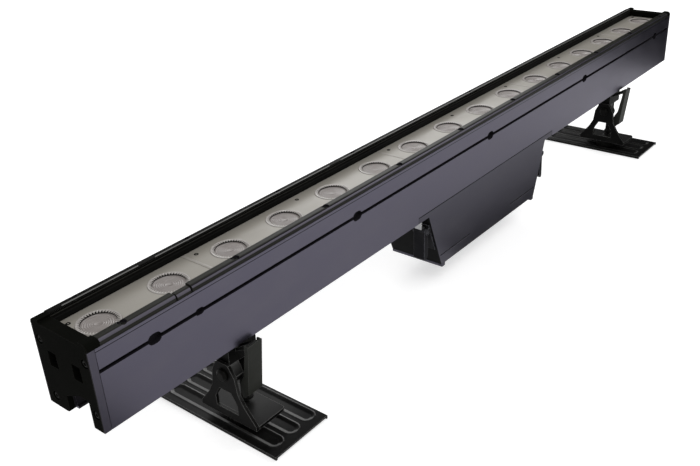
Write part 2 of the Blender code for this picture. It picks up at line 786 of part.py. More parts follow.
def make_end(tag, side):
    """The trim frame, the cap and its screws at one end of the bar."""
    web = sorted((side * (HALF_LENGTH - TRIM_DEPTH), side * WEB_FACE))
    flange = sorted((side * (HALF_LENGTH - TRIM_DEPTH), side * HALF_LENGTH))
    web_top = ARRAY_TOP
    outline = [(-HALF_WIDTH, 0)] + capped_channel_edge() + [(HALF_WIDTH, 0), (HALF_WIDTH, SIDE_HEIGHT)]
    inner = CAP_HALF_WIDTH + CLEARANCE
    outline += [(inner, SIDE_HEIGHT), (inner, web_top), (-inner, web_top), (-inner, SIDE_HEIGHT)]
    outline += [(-HALF_WIDTH, SIDE_HEIGHT)]
    frame = prism_x("end_frame_" + tag, [outline], *web)
    place(frame, ANODISED)
    through = (web[0] - CUT_MARGIN, web[1] + CUT_MARGIN)
    bore = CAP_SCREW_DIAMETER + 2 * CLEARANCE
    holes = [rod_x("bore", bore, through, y, z, 12) for _, y, z in cap_screw_places()]
    room_half = POCKET_WIDTH / 2 + POCKET_WALL + CLEARANCE
    room_rise = POCKET_HEIGHT / 2 + POCKET_WALL + CLEARANCE
    room_z = (POCKET_Z - room_rise, POCKET_Z + room_rise)
    for y in (-POCKET_SPACING / 2, POCKET_SPACING / 2):
        holes.append(box("room", through, (y - room_half, y + room_half), room_z))
    cut(frame, merged(tag + "_frame_holes", holes))
    for y in ((-HALF_WIDTH, -inner), (inner, HALF_WIDTH)):
        join(frame, box(f"{tag}_frame_flange", flange, y, (0, SIDE_HEIGHT)))
    make_end_cap(tag, side)
    for name, y, z in cap_screw_places():
        make_cap_screw(f"cap_screw_{tag}_{name}", side, y, z)


def make_end_cap(tag, side):
    """A plate that fills the end, with a thicker block over the lens arrays' end."""
    r = CAP_CORNER_RADIUS
    half = CAP_HALF_WIDTH
    shelf = SIDE_HEIGHT + CLEARANCE
    outline = [(-half, 0)] + capped_channel_edge() + [(half, 0), (half, shelf), (HALF_WIDTH, shelf)]
    outline += arc((HALF_WIDTH - r, RAIL_TOP - r), r, 0, 90, 4)
    outline += [(RAIL_INNER, RAIL_TOP), (RAIL_INNER, CAP_TOP)]
    outline += [(-RAIL_INNER, CAP_TOP), (-RAIL_INNER, RAIL_TOP)]
    outline += arc((r - HALF_WIDTH, RAIL_TOP - r), r, 90, 180, 4)
    outline += [(-HALF_WIDTH, shelf), (-half, shelf)]
    cap = prism_x("end_cap_" + tag, [outline], *sorted((side * CAP_TOP_BACK, side * HALF_LENGTH)))
    place(cap, BLACK_METAL)
    behind = sorted((side * (CAP_TOP_BACK - CUT_MARGIN), side * CAP_BACK))
    wide = HALF_WIDTH + CUT_MARGIN
    tongue = RAIL_INNER - 2 * CLEARANCE
    seat = ARRAY_TOP + CLEARANCE
    under = shelf + CLEARANCE / 2
    room = [(-wide, -CUT_MARGIN), (wide, -CUT_MARGIN), (wide, under), (tongue, under), (tongue, seat)]
    room += [(-tongue, seat), (-tongue, under), (-wide, under)]
    cut(cap, prism_x(tag + "_cap_room", [room], *behind))
    cups = []
    pockets = []
    inner = HALF_LENGTH - POCKET_DEPTH
    for y in (-POCKET_SPACING / 2, POCKET_SPACING / 2):
        w = POCKET_WIDTH / 2
        h = POCKET_HEIGHT / 2
        outer_y = (y - w - POCKET_WALL, y + w + POCKET_WALL)
        outer_z = (POCKET_Z - h - POCKET_WALL, POCKET_Z + h + POCKET_WALL)
        back = sorted((side * (inner - POCKET_WALL), side * (CAP_BACK + CUT_MARGIN)))
        cups.append(box("cup", back, outer_y, outer_z))
        hollow = sorted((side * inner, side * (HALF_LENGTH + CUT_MARGIN)))
        outline = rectangle((y - w, y + w), (POCKET_Z - h, POCKET_Z + h), POCKET_WALL)
        pockets.append(prism_x("pocket", [outline], *hollow))
    join(cap, merged(tag + "_cups", cups))
    through = sorted((side * (CAP_BACK - CUT_MARGIN), side * (HALF_LENGTH + CUT_MARGIN)))
    counterbore = sorted((side * (HALF_LENGTH - screw_head_depth()), side * (HALF_LENGTH + CUT_MARGIN)))
    wells = []
    for _, y, z in cap_screw_places():
        pockets.append(rod_x("bore", CAP_SCREW_DIAMETER + 2 * CLEARANCE, through, y, z, 12))
        wells.append(rod_x("well", CAP_SCREW_HEAD_DIAMETER + 2 * CLEARANCE, counterbore, y, z, 16))
    cut(cap, merged(tag + "_cap_cuts", pockets))
    cut(cap, merged(tag + "_cap_wells", wells))


def screw_head_depth():
    return CAP_SCREW_HEAD_HEIGHT + 2 * CLEARANCE


def make_cap_screw(name, side, y, z):
    top = HALF_LENGTH - CLEARANCE
    under = top - CAP_SCREW_HEAD_HEIGHT
    end = top - CAP_SCREW_LENGTH
    head = CAP_SCREW_HEAD_DIAMETER / 2
    shank = CAP_SCREW_DIAMETER / 2
    profile = ((0, top), (head * SCREW_CROWN_SHARE, top), (head, top - CAP_SCREW_HEAD_HEIGHT / 2))
    profile += ((head, under), (shank, under), (shank, end), (0, end))
    turn = (0, side * math.pi / 2, 0)
    screw = turned(name, profile, turn, (0, y, STAND_HEIGHT + z), 12)
    place(screw, STEEL)


def pack_half_length(height, wall=0.0):
    """Half the pack's length at a height, inside a wall of the given thickness."""
    if height < -PACK_KNEE_DROP:
        half = PACK_HALF_KNEE + PACK_CHIN_SLOPE * (height + PACK_KNEE_DROP)
        return half - wall * math.hypot(1, PACK_CHIN_SLOPE)
    half = PACK_HALF_TOP + PACK_SLOPE * min(height, 0)
    return half - wall * math.hypot(1, PACK_SLOPE)


def make_pack():
    """The shell, open at its top, with a tab of its side walls at each end beside the bar's legs."""
    top = PACK_SEAM_HEIGHT - CLEARANCE
    tongue = PACK_HALF_TONGUE - CLEARANCE
    outline = [
        (-tongue, 0),
        (-PACK_HALF_TOP, 0),
        (-PACK_HALF_KNEE, -PACK_KNEE_DROP),
        (-PACK_HALF_BOTTOM, -PACK_DEPTH),
        (PACK_HALF_BOTTOM, -PACK_DEPTH),
        (PACK_HALF_KNEE, -PACK_KNEE_DROP),
        (PACK_HALF_TOP, 0),
        (tongue, 0),
        (tongue, top),
        (-tongue, top),
    ]
    shell = prism_y("pack_shell", [outline], -HALF_WIDTH, HALF_WIDTH)
    place(shell, ANODISED)
    inner = HALF_WIDTH - PACK_WALL
    floor = PACK_WALL - PACK_DEPTH
    above = top + CUT_MARGIN
    levels = (floor, -PACK_KNEE_DROP, 0)
    hollow_half = [(pack_half_length(level, PACK_WALL), level) for level in levels]
    hollow_half.append((pack_half_length(0, PACK_WALL), above))
    hollow = hollow_half + [(-x, z) for x, z in reversed(hollow_half)]
    cut(shell, prism_y("pack_hollow", [hollow], -inner, inner))
    bore = SOCKET_BODY_DIAMETER + 2 * CLEARANCE
    sockets = (-SOCKET_X, SOCKET_X)
    cutters = [rod_y("socket_hole", bore, x, socket_wall(), -SOCKET_DROP, 24) for x in sockets]
    line_z = (-PACK_KNEE_DROP - PACK_LINE_WIDTH / 2, -PACK_KNEE_DROP + PACK_LINE_WIDTH / 2)
    for side in (-1, 1):
        ends = sorted((side * PACK_HALF_TOP, side * (tongue + CUT_MARGIN)))
        cutters.append(box("tongue_gap", ends, (-inner, inner), (-CUT_MARGIN, above)))
        line_x = sorted((side * (PACK_HALF_KNEE - PACK_LINE_LENGTH), side * (PACK_HALF_KNEE - PACK_WALL)))
        for face in (-1, 1):
            line_y = sorted((face * (HALF_WIDTH - PACK_LINE_DEPTH), face * (HALF_WIDTH + CUT_MARGIN)))
            cutters.append(box("seam_line", line_x, line_y, line_z))
    cut(shell, merged("pack_cuts", cutters))
    lid_end = pack_half_length(0, PACK_WALL) - CLEARANCE
    lid_y = (CLEARANCE - inner, inner - CLEARANCE)
    lid = box("pack_lid", (-lid_end, lid_end), lid_y, (top - PACK_LID_THICKNESS, top))
    place(lid, BLACK_PLASTIC)
    make_skid("pack_skid_left", -1)
    make_skid("pack_skid_right", 1)
    make_pack_inside(floor)
    half = CONTACT_LENGTH / 2
    y = (CHANNEL_OFFSET - CONTACT_WIDTH / 2, CHANNEL_OFFSET + CONTACT_WIDTH / 2)
    slope_foot = CHANNEL_DEPTH - CHANNEL_SLOPE_HEIGHT
    block = box("contact_block", (-half, half), y, (PACK_SEAM_HEIGHT, slope_foot - CLEARANCE))
    place(block, BLACK_PLASTIC)
    make_socket("power_socket", -SOCKET_X)
    make_socket("data_socket", SOCKET_X)


def make_skid(name, side):
    """A strip across the pack's underside that it rests on when it is off the bar."""
    under = -PACK_DEPTH - CLEARANCE
    low = under - SKID_HEIGHT
    end = PACK_HALF_BOTTOM
    inner = end - SKID_LENGTH
    r = SKID_CORNER_RADIUS
    outline = [(end, under), (inner, under)]
    outline += arc((inner + r, low + r), r, 180, 270, 3) + arc((end - r, low + r), r, 270, 360, 3)
    skid = prism_y(name, [[(side * x, z) for x, z in outline]], -HALF_WIDTH, HALF_WIDTH)
    place(skid, ANODISED)


def make_pack_inside(floor):
    bottom = floor + CLEARANCE
    r = CELL_DIAMETER / 2
    half_gap = CELL_DIAMETER / 8
    for tag, side in (("left", -1), ("right", 1)):
        ends = sorted((side * half_gap, side * (half_gap + CELL_LENGTH)))
        cells = []
        for row in range(CELL_ROWS):
            for column in range(CELL_COLUMNS):
                y = (column - (CELL_COLUMNS - 1) / 2) * CELL_PITCH
                cells.append(rod_x("cell", CELL_DIAMETER, ends, y, bottom + r + row * CELL_PITCH, 16))
        block = cells.pop()
        block.name = "cell_block_" + tag
        place(block, CELLS)
        for cell in cells:
            join(block, cell)
    under = bottom + CELL_DIAMETER + (CELL_ROWS - 1) * CELL_PITCH + CLEARANCE
    top = under + BOARD_THICKNESS
    half = POWER_BOARD_LENGTH / 2
    y = (-POWER_BOARD_WIDTH / 2, POWER_BOARD_WIDTH / 2)
    board = box("power_board", (-half, half), y, (under, top))
    place(board, BOARD)
    coils = []
    for x in (-half / 2, 0, half / 2):
        coils.append(rod_z("coil", COIL_DIAMETER, x, 0, (top - BOARD_THICKNESS / 2, top + COIL_HEIGHT)))
    join(board, merged("coils", coils))


def socket_wall():
    """The Y span of the pack's rear wall, and a little to each side."""
    return (HALF_WIDTH - PACK_WALL - CUT_MARGIN, HALF_WIDTH + CUT_MARGIN)


def make_socket(name, x):
    """A round panel socket in the pack's rear wall."""
    flange = SOCKET_FLANGE_DIAMETER / 2
    body = SOCKET_BODY_DIAMETER / 2
    bore = SOCKET_BORE_DIAMETER / 2
    face = CLEARANCE + SOCKET_FLANGE_HEIGHT
    profile = (
        (0, face - SOCKET_BORE_DEPTH),
        (bore, face - SOCKET_BORE_DEPTH),
        (bore, face),
        (flange - CLEARANCE, face),
        (flange, face - CLEARANCE),
        (flange, CLEARANCE),
        (body, CLEARANCE),
        (body, -SOCKET_BODY_LENGTH),
        (0, -SOCKET_BODY_LENGTH),
    )
    place_at = (x, HALF_WIDTH, STAND_HEIGHT - SOCKET_DROP)
    place(turned(name, profile, (-math.pi / 2, 0, 0), place_at, 24), BLACK_METAL)


def make_clasp(tag, side):
    """The lever, hook, base and keeper that hold one end of the pack."""
    pin = (side * CLASP_PIN_X, CLASP_Y, STAND_HEIGHT - CLASP_PIN_DROP)
    lever_at = carrier("clasp_lever_axis_" + tag, pin)
    hook_at = carrier("clasp_hook_slide_" + tag, pin)
    half = CLASP_BASE_WIDTH / 2
    y = (CLASP_Y - half, CLASP_Y + half)

    def on_wall(height, out):
        return side * (pack_half_length(height) + out), height

    skin = CLEARANCE
    back = CLEARANCE + CLASP_BASE_THICKNESS
    strip = [
        on_wall(-CLASP_BASE_TOP, skin),
        on_wall(-CLASP_BASE_BOTTOM, skin),
        on_wall(-CLASP_BASE_BOTTOM, back),
        on_wall(-CLASP_BASE_TOP, back),
    ]
    base = prism_y("clasp_base_" + tag, [strip], *y)
    place(base, BLACK_METAL)
    r = CLASP_EYE_RADIUS
    ear = [(side * CLASP_PIN_X + dx, dz - CLASP_PIN_DROP) for dx, dz in arc((0, 0), r, 0, 330, 11)]
    ear = [point for point in ear if side * point[0] > CLASP_PIN_X - r / 2]
    ear.sort(key=lambda point: point[1])
    ear = [on_wall(-CLASP_PIN_DROP - r, back / 2)] + ear + [on_wall(-CLASP_PIN_DROP + r, back / 2)]
    for face in ((y[0], y[0] + CLASP_EAR), (y[1] - CLASP_EAR, y[1])):
        join(base, prism_y(tag + "_clasp_ear", [ear], *face))
    wide = (y[0] - CUT_MARGIN, y[1] + CUT_MARGIN)
    bore = CLASP_PIN_DIAMETER + 2 * CLEARANCE
    cut(base, rod_y("bore", bore, side * CLASP_PIN_X, wide, -CLASP_PIN_DROP, 12))
    lever_half = half - CLASP_EAR - CLEARANCE
    eye = arc((CLASP_PIN_X, -CLASP_PIN_DROP), r, 0, 180, 6)
    end = CLASP_PIN_X + CLASP_LEVER_LEAN
    t = CLASP_LEVER_THICKNESS
    low = -CLASP_LEVER_END
    outline = eye + [(end - t, low + t), (end, low), (end + t / 2, low + t / 2)]
    outline = [(side * x, z) for x, z in outline]
    lever = prism_y("clasp_lever_" + tag, [outline], CLASP_Y - lever_half, CLASP_Y + lever_half)
    place(lever, BLACK_METAL, lever_at)
    join(lever, rod_y(tag + "_clasp_pin", CLASP_PIN_DIAMETER, side * CLASP_PIN_X, y, -CLASP_PIN_DROP, 12))
    rest = CLEARANCE + HOOK_THICKNESS
    foot = CLASP_PIN_X - HOOK_FOOT
    foot_low = r + CLEARANCE - CLASP_PIN_DROP
    foot_top = foot_low + HOOK_THICKNESS
    hook = [(foot, foot_low), (HOOK_OUTER, foot_low), (HOOK_OUTER, CLEARANCE), (HOOK_TIP, CLEARANCE)]
    hook += [(HOOK_TIP, rest), (HOOK_INNER, rest), (HOOK_INNER, foot_top), (foot, foot_top)]
    hook = [(side * x, z) for x, z in hook]
    half = HOOK_WIDTH / 2
    hook = prism_y("clasp_hook_" + tag, [hook], CLASP_Y - half, CLASP_Y + half)
    place(hook, STEEL, hook_at)
    ledge_in = HOOK_OUTER + CLEARANCE
    ceiling = PACK_SEAM_HEIGHT - CLEARANCE
    keeper = [(ledge_in, 0), (ledge_in, -KEEPER_LEDGE), (KEEPER_OUTER, -KEEPER_LEDGE)]
    keeper += [(KEEPER_OUTER, ceiling), (KEEPER_INNER, ceiling), (KEEPER_INNER, 0)]
    keeper = [(side * x, z) for x, z in keeper]
    half = KEEPER_WIDTH / 2
    keeper = prism_y("clasp_keeper_" + tag, [keeper], CLASP_Y - half, CLASP_Y + half)
    place(keeper, STEEL)


def make_foot(tag, foot_x):
    """One floor foot: a clamp in the channel, its lever, the tilting yoke and the plate."""
    slide = carrier("foot_slide_" + tag, (foot_x, 0, STAND_HEIGHT))
    pivot = (foot_x, PIVOT_Y, STAND_HEIGHT - PIVOT_DROP)
    tilt = carrier("foot_tilt_axis_" + tag, pivot, slide)
    make_clamp_head(tag, foot_x, slide)
    make_jaw(tag, foot_x, slide)
    make_lever(tag, foot_x, slide)
    make_barrel(tag, foot_x, slide)
    make_tilt_bolt(tag, foot_x, slide)
    make_yoke(tag, foot_x, tilt)
    swivel = carrier(
        "foot_swivel_axis_" + tag, (foot_x + SWIVEL_X, PIVOT_Y, STAND_HEIGHT + PLATE_TOP), tilt
    )
    make_swivel(tag, foot_x, tilt)
    make_plate(tag, foot_x, swivel)


def make_clamp_head(tag, foot_x, parent):
    """The block that hooks over the channel's front lip, with its pivot lug and the lever's arm."""
    x = (foot_x + HEAD_X0, foot_x + HEAD_X1)
    behind_jaw = NECK_REAR - JAW_TRAVEL - jaw_width() - CLEARANCE
    outline = [
        (HEAD_FRONT, -HEAD_BLOCK_DROP),
        (HEAD_REAR, -HEAD_BLOCK_DROP),
        (HEAD_REAR, -HEAD_SHELF_DROP),
        (NECK_REAR, -HEAD_SHELF_DROP),
        (NECK_REAR, -HEAD_SEAT_DROP),
        (behind_jaw, -HEAD_SEAT_DROP),
        (behind_jaw, HEAD_HOOK_HEIGHT),
        (HEAD_FRONT, HEAD_HOOK_HEIGHT),
        (HEAD_FRONT, OVER_LIP),
        (NECK_FRONT, OVER_LIP),
        (NECK_FRONT, -CLEARANCE),
        (HEAD_FRONT, -CLEARANCE),
    ]
    head = prism_x("clamp_head_" + tag, [outline], *x)
    place(head, BLACK_METAL, parent)
    inside = -HEAD_BLOCK_DROP + ARM_THICKNESS
    lug = arc((PIVOT_Y, -PIVOT_DROP), HEAD_LUG_RADIUS, 180, 360, 12)
    lug += [(HEAD_REAR - CUT_MARGIN, inside), (HEAD_FRONT + CUT_MARGIN, inside)]
    join(head, prism_x(tag + "_lug", [lug], x[0], foot_x + LUG_X1))
    eye = (LEVER_PIN_Y, -LEVER_PIN_DROP)
    arm = arc(eye, ARM_EYE_RADIUS, 60, 240, 6)
    root_y = HEAD_FRONT + CUT_MARGIN
    arm += [(root_y, -ARM_ROOT_DROP - ARM_THICKNESS / 2), (root_y, -ARM_ROOT_DROP + ARM_THICKNESS / 2)]
    arm_x = (foot_x + LEVER_X - ARM_WIDTH / 2, foot_x + LEVER_X + ARM_WIDTH / 2)
    join(head, prism_x(tag + "_lever_arm", [arm], *arm_x))
    wide = (x[0] - CUT_MARGIN, x[1] + CUT_MARGIN)
    bolt_bore = TILT_BOLT_DIAMETER + 2 * CLEARANCE
    cut(head, rod_x(tag + "_bolt_bore", bolt_bore, wide, PIVOT_Y, -PIVOT_DROP, 16))
    cut(head, rod_x(tag + "_pin_bore", LEVER_PIN_DIAMETER + 2 * CLEARANCE, wide, *eye, 12))


def jaw_width():
    """The jaw's width at its foot, which is as wide as leaves the block behind it room."""
    return (NECK_REAR - NECK_FRONT) / 2 - JAW_TRAVEL


def make_jaw(tag, foot_x, parent):
    """The sliding jaw, which hooks over the channel's rear lip."""
    at = carrier("jaw_slide_" + tag, (foot_x, NECK_REAR, STAND_HEIGHT), parent)
    middle = foot_x + (HEAD_X0 + HEAD_X1) / 2
    front = NECK_REAR - jaw_width()
    rear = CHANNEL_REAR - CLEARANCE
    foot = CLEARANCE - HEAD_SEAT_DROP
    outline = [(front, foot), (NECK_REAR, foot), (NECK_REAR, OVER_LIP), (rear, OVER_LIP)]
    outline += [(rear, JAW_HEIGHT), (front, JAW_HEIGHT)]
    jaw = prism_x("clamp_jaw_" + tag, [outline], middle - JAW_LENGTH / 2, middle + JAW_LENGTH / 2)
    place(jaw, STEEL, at)


def make_lever(tag, foot_x, parent):
    """A channel of folded sheet that hangs from the clamp's arm, with a deep heel at its lower end."""
    at = carrier(
        "lever_axis_" + tag, (foot_x + LEVER_X, LEVER_PIN_Y, STAND_HEIGHT - LEVER_PIN_DROP), parent
    )
    x = (foot_x + LEVER_X - LEVER_WIDTH / 2, foot_x + LEVER_X + LEVER_WIDTH / 2)
    lean_at_pin = LEVER_LEAN * LEVER_PIN_DROP / LEVER_END_DROP
    out = LEVER_PIN_Y - ARM_EYE_RADIUS - CLEARANCE - LEVER_SHEET - lean_at_pin
    bottom = -LEVER_END_DROP
    foot = out + LEVER_LEAN
    skin = LEVER_SHEET / 2
    sheet = [(out, -LEVER_TOP), (foot, bottom)]
    sheet += [(foot + LEVER_SHEET, bottom), (out + LEVER_SHEET, -LEVER_TOP)]
    lever = prism_x("clamp_lever_" + tag, [sheet], *x)
    place(lever, BLACK_METAL, at)
    heel = foot + LEVER_HEEL
    wing = [
        (out + skin, -LEVER_TOP),
        (foot + skin, bottom),
        (foot + LEVER_WING, -LEVER_HEEL_FOOT_DROP),
        (heel - LEVER_SHEET, -LEVER_HEEL_FOOT_DROP),
        (heel, -LEVER_HEEL_TOP_DROP),
        (heel - LEVER_SHEET, -LEVER_HEEL_TOP_DROP + LEVER_WING),
        (foot + LEVER_WING - LEVER_SHEET, -LEVER_WAIST_DROP),
        (out + LEVER_WING, -2 * LEVER_PIN_DROP),
        (out + LEVER_WING, -LEVER_TOP),
    ]
    wings = []
    for edge in ((x[0], x[0] + LEVER_SHEET), (x[1] - LEVER_SHEET, x[1])):
        wings.append(prism_x("wing", [wing], *edge))
    join(lever, merged(tag + "_wings", wings))
    pin_x = (x[0] + skin, x[1] - skin)
    join(lever, rod_x(tag + "_lever_pin", LEVER_PIN_DIAMETER, pin_x, LEVER_PIN_Y, -LEVER_PIN_DROP, 12))


def make_barrel(tag, foot_x, parent):
    """The spring barrel under the clamp head, with its adjusting ring."""
    top = -HEAD_BLOCK_DROP - CLEARANCE
    low = YOKE_BASE_TOP + CLEARANCE + SWIVEL_HEAD_HEIGHT + BARREL_FOOT_GAP
    r = BARREL_DIAMETER / 2
    ring = BARREL_RING_DIAMETER / 2
    chamfer = ring - r
    profile = (
        (0, top),
        (r, top),
        (r, low + BARREL_RING_HEIGHT + chamfer),
        (ring, low + BARREL_RING_HEIGHT),
        (ring, low + chamfer),
        (r, low),
        (0, low),
    )
    place_at = (foot_x, PIVOT_Y, STAND_HEIGHT)
    place(turned("spring_barrel_" + tag, profile, ALONG_Z, place_at, 20), BLACK_METAL, parent)


def make_tilt_bolt(tag, foot_x, parent):
    head_in = YOKE_OUTER_X - CLEARANCE
    head_out = head_in - TILT_HEAD_HEIGHT
    nut_in = LUG_X1 + CLEARANCE
    nut_out = nut_in + TILT_NUT_HEIGHT
    head = TILT_HEAD_DIAMETER / 2
    shank = TILT_BOLT_DIAMETER / 2
    nut = TILT_NUT_DIAMETER / 2
    profile = (
        (0, -head_out),
        (head * TILT_CROWN_SHARE, -head_out),
        (head, -head_out - TILT_HEAD_HEIGHT / 2),
        (head, -head_in),
        (shank, -head_in),
        (shank, -nut_in),
        (nut, -nut_in),
        (nut, -nut_out),
        (0, -nut_out),
    )
    place_at = (foot_x, PIVOT_Y, STAND_HEIGHT - PIVOT_DROP)
    place(turned("tilt_bolt_" + tag, profile, (0, -math.pi / 2, 0), place_at, 18), STEEL, parent)


def make_yoke(tag, foot_x, parent):
    """An A-shaped cheek and its base, folded from one sheet."""
    half = YOKE_BASE_WIDTH / 2
    window_top = -YOKE_WINDOW_TOP
    window_bottom = YOKE_BASE_TOP + PIVOT_DROP + YOKE_WINDOW_SILL
    base_under = YOKE_BASE_UNDER + PIVOT_DROP
    right = [
        (half, base_under),
        (half, base_under + YOKE_SHEET + CUT_MARGIN),
        (YOKE_FLARE_WIDTH / 2, -YOKE_FLARE_DROP),
        (YOKE_WAIST_WIDTH / 2, -YOKE_WAIST_DROP),
        (YOKE_SHOULDER_WIDTH / 2, 0),
    ]
    r = YOKE_CORNER_RADIUS
    right += arc((YOKE_TOP_WIDTH / 2, YOKE_TOP_RISE - r), r, 50, 90, 2)
    cheek = right + [(-y, z) for y, z in reversed(right)]
    w = YOKE_WINDOW_WIDTH / 2
    top = YOKE_WINDOW_TOP_WIDTH / 2
    shoulder = window_bottom + YOKE_WINDOW_SHOULDER
    window_half = [(w, window_bottom), (w, shoulder), (top, window_top)]
    window = window_half + [(-y, z) for y, z in reversed(window_half)]
    bore = arc((0, 0), TILT_BOLT_DIAMETER / 2 + CLEARANCE, 0, 337.5, 15)
    loops = [[(PIVOT_Y + y, z - PIVOT_DROP) for y, z in loop] for loop in (cheek, window, bore)]
    x0 = foot_x + YOKE_OUTER_X
    yoke = prism_x("yoke_bracket_" + tag, loops, x0, x0 + YOKE_SHEET)
    place(yoke, BLACK_METAL, parent)
    y = (PIVOT_Y - half, PIVOT_Y + half)
    base = rectangle((x0 + YOKE_SHEET / 2, x0 + YOKE_BASE_LENGTH), y, YOKE_CORNER_RADIUS)
    hole = arc((foot_x + SWIVEL_X, PIVOT_Y), SWIVEL_SHANK_DIAMETER / 2 + CLEARANCE, 0, 337.5, 15)
    join(yoke, prism_z(tag + "_yoke_base", [base, hole], YOKE_BASE_UNDER, YOKE_BASE_TOP))


def make_swivel(tag, foot_x, parent):
    """The disc under the yoke and the bolt through it, about which the plate turns."""
    disc_top = YOKE_BASE_UNDER - CLEARANCE
    disc_low = PLATE_TOP + CLEARANCE
    head_low = YOKE_BASE_TOP + CLEARANCE
    head_top = head_low + SWIVEL_HEAD_HEIGHT
    shank = SWIVEL_SHANK_DIAMETER / 2
    head = SWIVEL_HEAD_DIAMETER / 2
    disc = SWIVEL_DISC_DIAMETER / 2
    profile = (
        (0, head_top),
        (head * SCREW_CROWN_SHARE, head_top),
        (head, head_top - SWIVEL_HEAD_HEIGHT / 2),
        (head, head_low),
        (shank, head_low),
        (shank, disc_top),
        (disc, disc_top),
        (disc, disc_low),
        (shank, disc_low),
        (shank, PLATE_TOP - PLATE_LIP - PLATE_SHEET / 2),
        (0, PLATE_TOP - PLATE_LIP - PLATE_SHEET / 2),
    )
    place_at = (foot_x + SWIVEL_X, PIVOT_Y, STAND_HEIGHT)
    place(turned("swivel_pivot_" + tag, profile, ALONG_Z, place_at, 24), STEEL, parent)


def make_plate(tag, foot_x, parent):
    """The floor plate: pressed sheet with folded edges and three troughs."""
    half = PLATE_WIDTH / 2
    middle = foot_x + PLATE_X
    x = (middle - half, middle + half)
    y = (-PLATE_LENGTH / 2, PLATE_LENGTH / 2)
    under = PLATE_TOP - PLATE_SHEET
    floor = under - PLATE_LIP
    plate = prism_z("foot_plate_" + tag, [rectangle(x, y, PLATE_CORNER_RADIUS)], under, PLATE_TOP)
    place(plate, BLACK_METAL, parent)
    below = []
    inset = PLATE_CORNER_RADIUS
    for edge in ((x[0], x[0] + PLATE_SHEET), (x[1] - PLATE_SHEET, x[1])):
        below.append(box("lip", edge, (y[0] + inset, y[1] - inset), (floor, PLATE_TOP - PLATE_SHEET / 2)))
    pressed = []
    for i in (-1, 0, 1):
        centre = middle + PLATE_TROUGH_X + i * PLATE_TROUGH_PITCH
        start = y[0] + PLATE_TROUGH_FRONT
        end = y[1] - PLATE_TROUGH_REAR
        width = PLATE_TROUGH_WIDTH + 2 * PLATE_SHEET
        outer = stadium(centre, start - PLATE_SHEET, end + PLATE_SHEET, width)
        below.append(prism_z("trough", [outer], under - PLATE_LIP, PLATE_TOP - PLATE_SHEET / 2))
        inner = stadium(centre, start, end, PLATE_TROUGH_WIDTH)
        pressed.append(prism_z("press", [inner], PLATE_TOP - PLATE_LIP, PLATE_TOP + CUT_MARGIN))
    join(plate, merged(tag + "_below", below))
    bore = SWIVEL_SHANK_DIAMETER + 2 * CLEARANCE
    heights = (floor - CUT_MARGIN, PLATE_TOP + CUT_MARGIN)
    cut(plate, merged(tag + "_pressed", pressed))
    cut(plate, rod_z(tag + "_swivel_bore", bore, foot_x + SWIVEL_X, PIVOT_Y, heights))


make_housing()
make_rail("front_rail", -1)
make_rail("rear_rail", 1)
make_lens_arrays()
make_led_boards()
make_driver_board()
make_end("left", -1)
make_end("right", 1)
built_along_bar(PACK_X, make_pack)
built_along_bar(PACK_X, make_clasp, "left", -1)
built_along_bar(PACK_X, make_clasp, "right", 1)
make_foot("left", -FOOT_X)
make_foot("right", FOOT_X)
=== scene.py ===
"""Studio scene of a one metre LED pixel bar with a power pack and two clamp feet."""

import json
import logging
import math
from collections.abc import Callable
from dataclasses import dataclass
from enum import Enum

import bmesh
import bpy
from mathutils import Euler, Matrix, Vector

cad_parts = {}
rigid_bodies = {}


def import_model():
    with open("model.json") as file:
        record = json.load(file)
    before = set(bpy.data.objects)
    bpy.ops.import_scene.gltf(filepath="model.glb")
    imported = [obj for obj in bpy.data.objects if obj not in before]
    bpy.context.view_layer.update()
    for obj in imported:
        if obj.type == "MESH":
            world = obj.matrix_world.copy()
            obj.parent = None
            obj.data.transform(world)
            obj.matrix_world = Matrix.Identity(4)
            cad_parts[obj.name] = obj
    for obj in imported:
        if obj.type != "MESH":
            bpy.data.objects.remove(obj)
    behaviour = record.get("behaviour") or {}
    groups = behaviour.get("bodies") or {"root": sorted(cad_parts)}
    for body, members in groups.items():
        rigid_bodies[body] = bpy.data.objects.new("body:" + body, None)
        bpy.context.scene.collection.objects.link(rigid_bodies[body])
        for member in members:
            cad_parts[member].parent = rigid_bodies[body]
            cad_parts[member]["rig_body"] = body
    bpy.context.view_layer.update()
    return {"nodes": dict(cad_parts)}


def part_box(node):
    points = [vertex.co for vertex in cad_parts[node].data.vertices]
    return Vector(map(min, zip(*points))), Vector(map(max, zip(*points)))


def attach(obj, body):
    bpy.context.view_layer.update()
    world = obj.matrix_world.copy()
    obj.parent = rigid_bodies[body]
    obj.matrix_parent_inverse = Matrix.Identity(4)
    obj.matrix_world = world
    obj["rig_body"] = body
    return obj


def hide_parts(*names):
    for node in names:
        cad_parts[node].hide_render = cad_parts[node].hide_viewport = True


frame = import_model()

LOG = logging.getLogger("pixel_bar")

STAND_HEIGHT = 0.0875
HALF_LENGTH = 0.5
HALF_WIDTH = 0.03115
RAIL_TOP = 0.0704
SIDE_HEIGHT = 0.065
ARRAY_TOP = 0.0605

SHARP_ANGLE = math.radians(35)
ROUNDED_ANGLE = math.radians(38)
FLAT_ANGLE = math.radians(0.6)
MERGE_DISTANCE = 2e-6
SAME_POINT = 1e-7
CUT_PAST = 0.001
LIFT = Vector((0, 0, STAND_HEIGHT))
SEAM_HALF_WIDTH = 0.0003
SEAM_SHADE = 0.12
DUST_SHARE = 0.35
WEAR_GLOSS = 0.12

Tree = bpy.types.NodeTree
Socket = bpy.types.NodeSocket
Piece = bpy.types.Object
Pair = tuple[float, float]
Outline = list[Pair]
Triple = tuple[float, float, float]


class Side(Enum):
    """One end of the bar, seen from the side that faces the camera."""

    LEFT = -1
    RIGHT = 1

    @property
    def tag(self) -> str:
        """The end's word in node names."""
        return self.name.lower()


